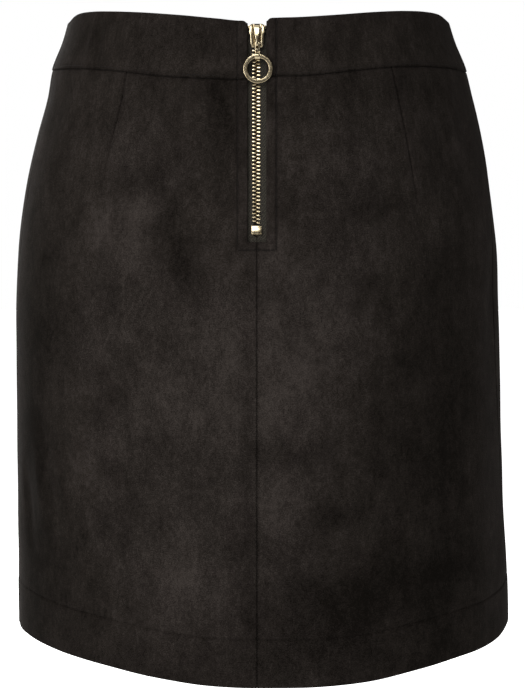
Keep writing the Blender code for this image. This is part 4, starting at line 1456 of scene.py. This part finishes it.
def make_ring():
    middle = (RING_RADIUS * MM, 0, 0)
    ring = start("plane", "turned_ring", size=1.0, location=middle, rotation=(radians(90), 0, 0))

    def profile(obj):
        bpy.ops.mesh.select_all(action="SELECT")
        bpy.ops.transform.resize(value=(BAND_ACROSS * MM, 1, BAND_DEEP * MM), center_override=middle)
        bpy.ops.mesh.bevel(offset=0.36 * MM, segments=4, affect="VERTICES", clamp_overlap=True)
        bpy.ops.mesh.select_mode(type="EDGE")
        bpy.ops.mesh.select_all(action="SELECT")
        bpy.ops.mesh.delete(type="ONLY_FACE")
        bpy.ops.mesh.select_all(action="SELECT")
        bpy.ops.mesh.spin(steps=96, angle=radians(360), center=(0, 0, 0), axis=(0, 0, 1))
        faces_outwards(obj)

    edit(ring, profile)
    return ring


ring = make_ring()
ring.data.transform(Matrix.Rotation(radians(90), 4, "X"))
ring.data.transform(Matrix.Translation((0, 0, -RING_RADIUS * MM)))
in_eye = Matrix.Translation((0, EYE_Y * MM, EYE_Z * MM))
ring.data.transform(zip_matrix(HINGE_DROP, LINK_DEPTH, RING_ACROSS) @ in_eye)
smooth(ring, 30)
settle(ring, "ring", (gold,), "pull_ring")
print("ring has", len(ring.data.polygons), "faces")

# %% [markdown]
# ## Stitches
#
# A stitch is a short length of thread, thicker in its middle and drawn into the cloth at both ends. It is
# shaped from a low sphere by pulling its ends down, and copied along the zip's stitched line and just above
# the waistband's seam with the cloth's own slope. A slight turn of each stitch, from a seeded draw, keeps
# the row from looking printed.

# %% One stitch, and rows of it
STITCH_LENGTH = 2.35
STITCH_STEP = 2.95
THREAD_SUNK = 0.02
BAND_STITCHES_END = 41
draw = np.random.default_rng(7)


def make_stitch():
    stitch = start("uv_sphere", "stitch", segments=6, ring_count=6, radius=0.5)
    edit(stitch, lambda obj: bpy.ops.mesh.select_all(action="SELECT"),
         lambda obj: bpy.ops.transform.resize(value=(0.42 * MM, 0.34 * MM, STITCH_LENGTH * MM)),
         lambda obj: pick(obj, "VERT", lambda vertex: abs(vertex.co.z) > 0.9 * MM),
         lambda obj: bpy.ops.transform.translate(value=(0, 0.16 * MM, 0)))
    smooth(stitch, 80)
    return stitch


def stitch_matrix(turn, drop, lift, run):
    """run is the row's direction, in degrees of turn and millimetres of drop for one step."""
    here, there = (Vector(place(np.array(float(t)), np.array(float(d)), lift))
                   for t, d in ((turn, drop), (turn + run[0], drop + run[1])))
    out = Vector(outward(np.array(float(turn)), np.array(float(drop))))
    along = (there - here).normalized()
    side = along.cross(-out).normalized()
    axes = Matrix((side, side.cross(along) * -1, along)).transposed().to_4x4()
    return Matrix.Translation(here) @ axes @ Matrix.Rotation(radians(float(draw.normal(0, 2.5))), 4, "Y")


def turn_of(across, drop):
    return float(turn_at(np.array(float(across)), np.array(float(drop))))


def zip_row():
    """Down one side of the slot, across below it and up the other side."""
    matrices = []
    for side in (-1, 1):
        first = float(edge("waist", np.array(side * 5.0))) + 3.0
        for drop in np.arange(first, STITCH_END - 1.0, STITCH_STEP):
            lift = BAND_PROUD if drop < BAND_STITCHES_END else 0.0
            turn = turn_of(side * STITCH_LINE, drop)
            matrices.append(stitch_matrix(turn, drop, lift - THREAD_SUNK, (0.0, 1.0)))
    for across in np.arange(-STITCH_LINE + 1.2, STITCH_LINE - 0.6, STITCH_STEP):
        turn = turn_of(across, STITCH_END)
        matrices.append(stitch_matrix(turn, STITCH_END, -THREAD_SUNK, (0.4, 0.0)))
    return matrices


def band_row():
    """All round, just above the seam of the waistband."""
    matrices = []
    step = STITCH_STEP / GIRTH * 360
    for turn in np.arange(3.8, 356.2, step * 1.15):
        drop = float(edge("seam", np.array(turn))) - BAND_STITCH_LINE
        matrices.append(stitch_matrix(turn, drop, BAND_PROUD - 0.2, (0.5, 0.0)))
    return matrices


zip_stitches = copies("zip_stitches", make_stitch(), zip_row())
band_stitches = copies("band_stitches", make_stitch(), band_row())
for row_of_stitches in (zip_stitches, band_stitches):
    settle(row_of_stitches, "skirt", (thread,))
print("stitch faces:", len(zip_stitches.data.polygons), "and", len(band_stitches.data.polygons))

# %% [markdown]
# ## A pale floor and soft light
#
# The background is plain white and the light soft, with the main light high on the left, so the right side
# falls off a little. Floor and world look white to the camera and are dimmer as lights, which keeps the
# dark cloth dark and gives the metal something dark to reflect.

# %% Floor and world
FLOOR_HEIGHT = -0.95
floor = start("circle", "floor", vertices=64, radius=6.0, fill_type="NGON", location=(0, 0, FLOOR_HEIGHT))
pale, tree, shader = new_material("pale_floor")
blots = noise(tree, own_place(tree), 300, 2.0)
greys = ramp(tree, blots, ((0.0, (0.88, 0.88, 0.88)), (1.0, (0.92, 0.92, 0.92))))
tree.links.new(greys, shader.inputs["Base Color"])
shader.inputs["Roughness"].default_value = 0.8
shader.inputs["Emission Color"].default_value = (1, 1, 1, 1)
seen = add_node(tree, "ShaderNodeLightPath").outputs["Is Camera Ray"]
tree.links.new(math(tree, "MULTIPLY_ADD", seen, 0.5, 0.6), shader.inputs["Emission Strength"])
floor.data.materials.append(pale)
world = bpy.data.worlds.new("studio")
bpy.context.scene.world = world
world.use_nodes = True
tree = world.node_tree
tree.nodes["Background"].inputs["Color"].default_value = (1, 1, 1, 1)
seen = add_node(tree, "ShaderNodeLightPath").outputs["Is Camera Ray"]
tree.links.new(math(tree, "MULTIPLY_ADD", seen, 0.91, 0.09), tree.nodes["Background"].inputs["Strength"])
bpy.context.scene.view_settings.view_transform = "Standard"

# %% Lights
AIM = Vector((0, 0, -0.2))


def soft_light(name, at, size, power):
    data = bpy.data.lights.new(name, "AREA")
    data.shape = "RECTANGLE"
    data.size, data.size_y = size
    data.energy = power
    lamp = bpy.data.objects.new(name, data)
    lamp.location = at
    lamp.rotation_euler = (AIM - Vector(at)).to_track_quat("-Z", "Y").to_euler()
    bpy.context.scene.collection.objects.link(lamp)
    return lamp


soft_light("key", (-1.35, -1.9, 0.45), (1.0, 1.3), 30)
soft_light("front", (-0.4, -1.75, 1.6), (1.3, 0.8), 26)
soft_light("top", (-0.1, -0.4, 1.7), (1.2, 0.8), 4)
soft_light("rear", (-1.0, 2.0, 0.6), (1.2, 1.2), 48)
print("lights:", len(bpy.data.lights))
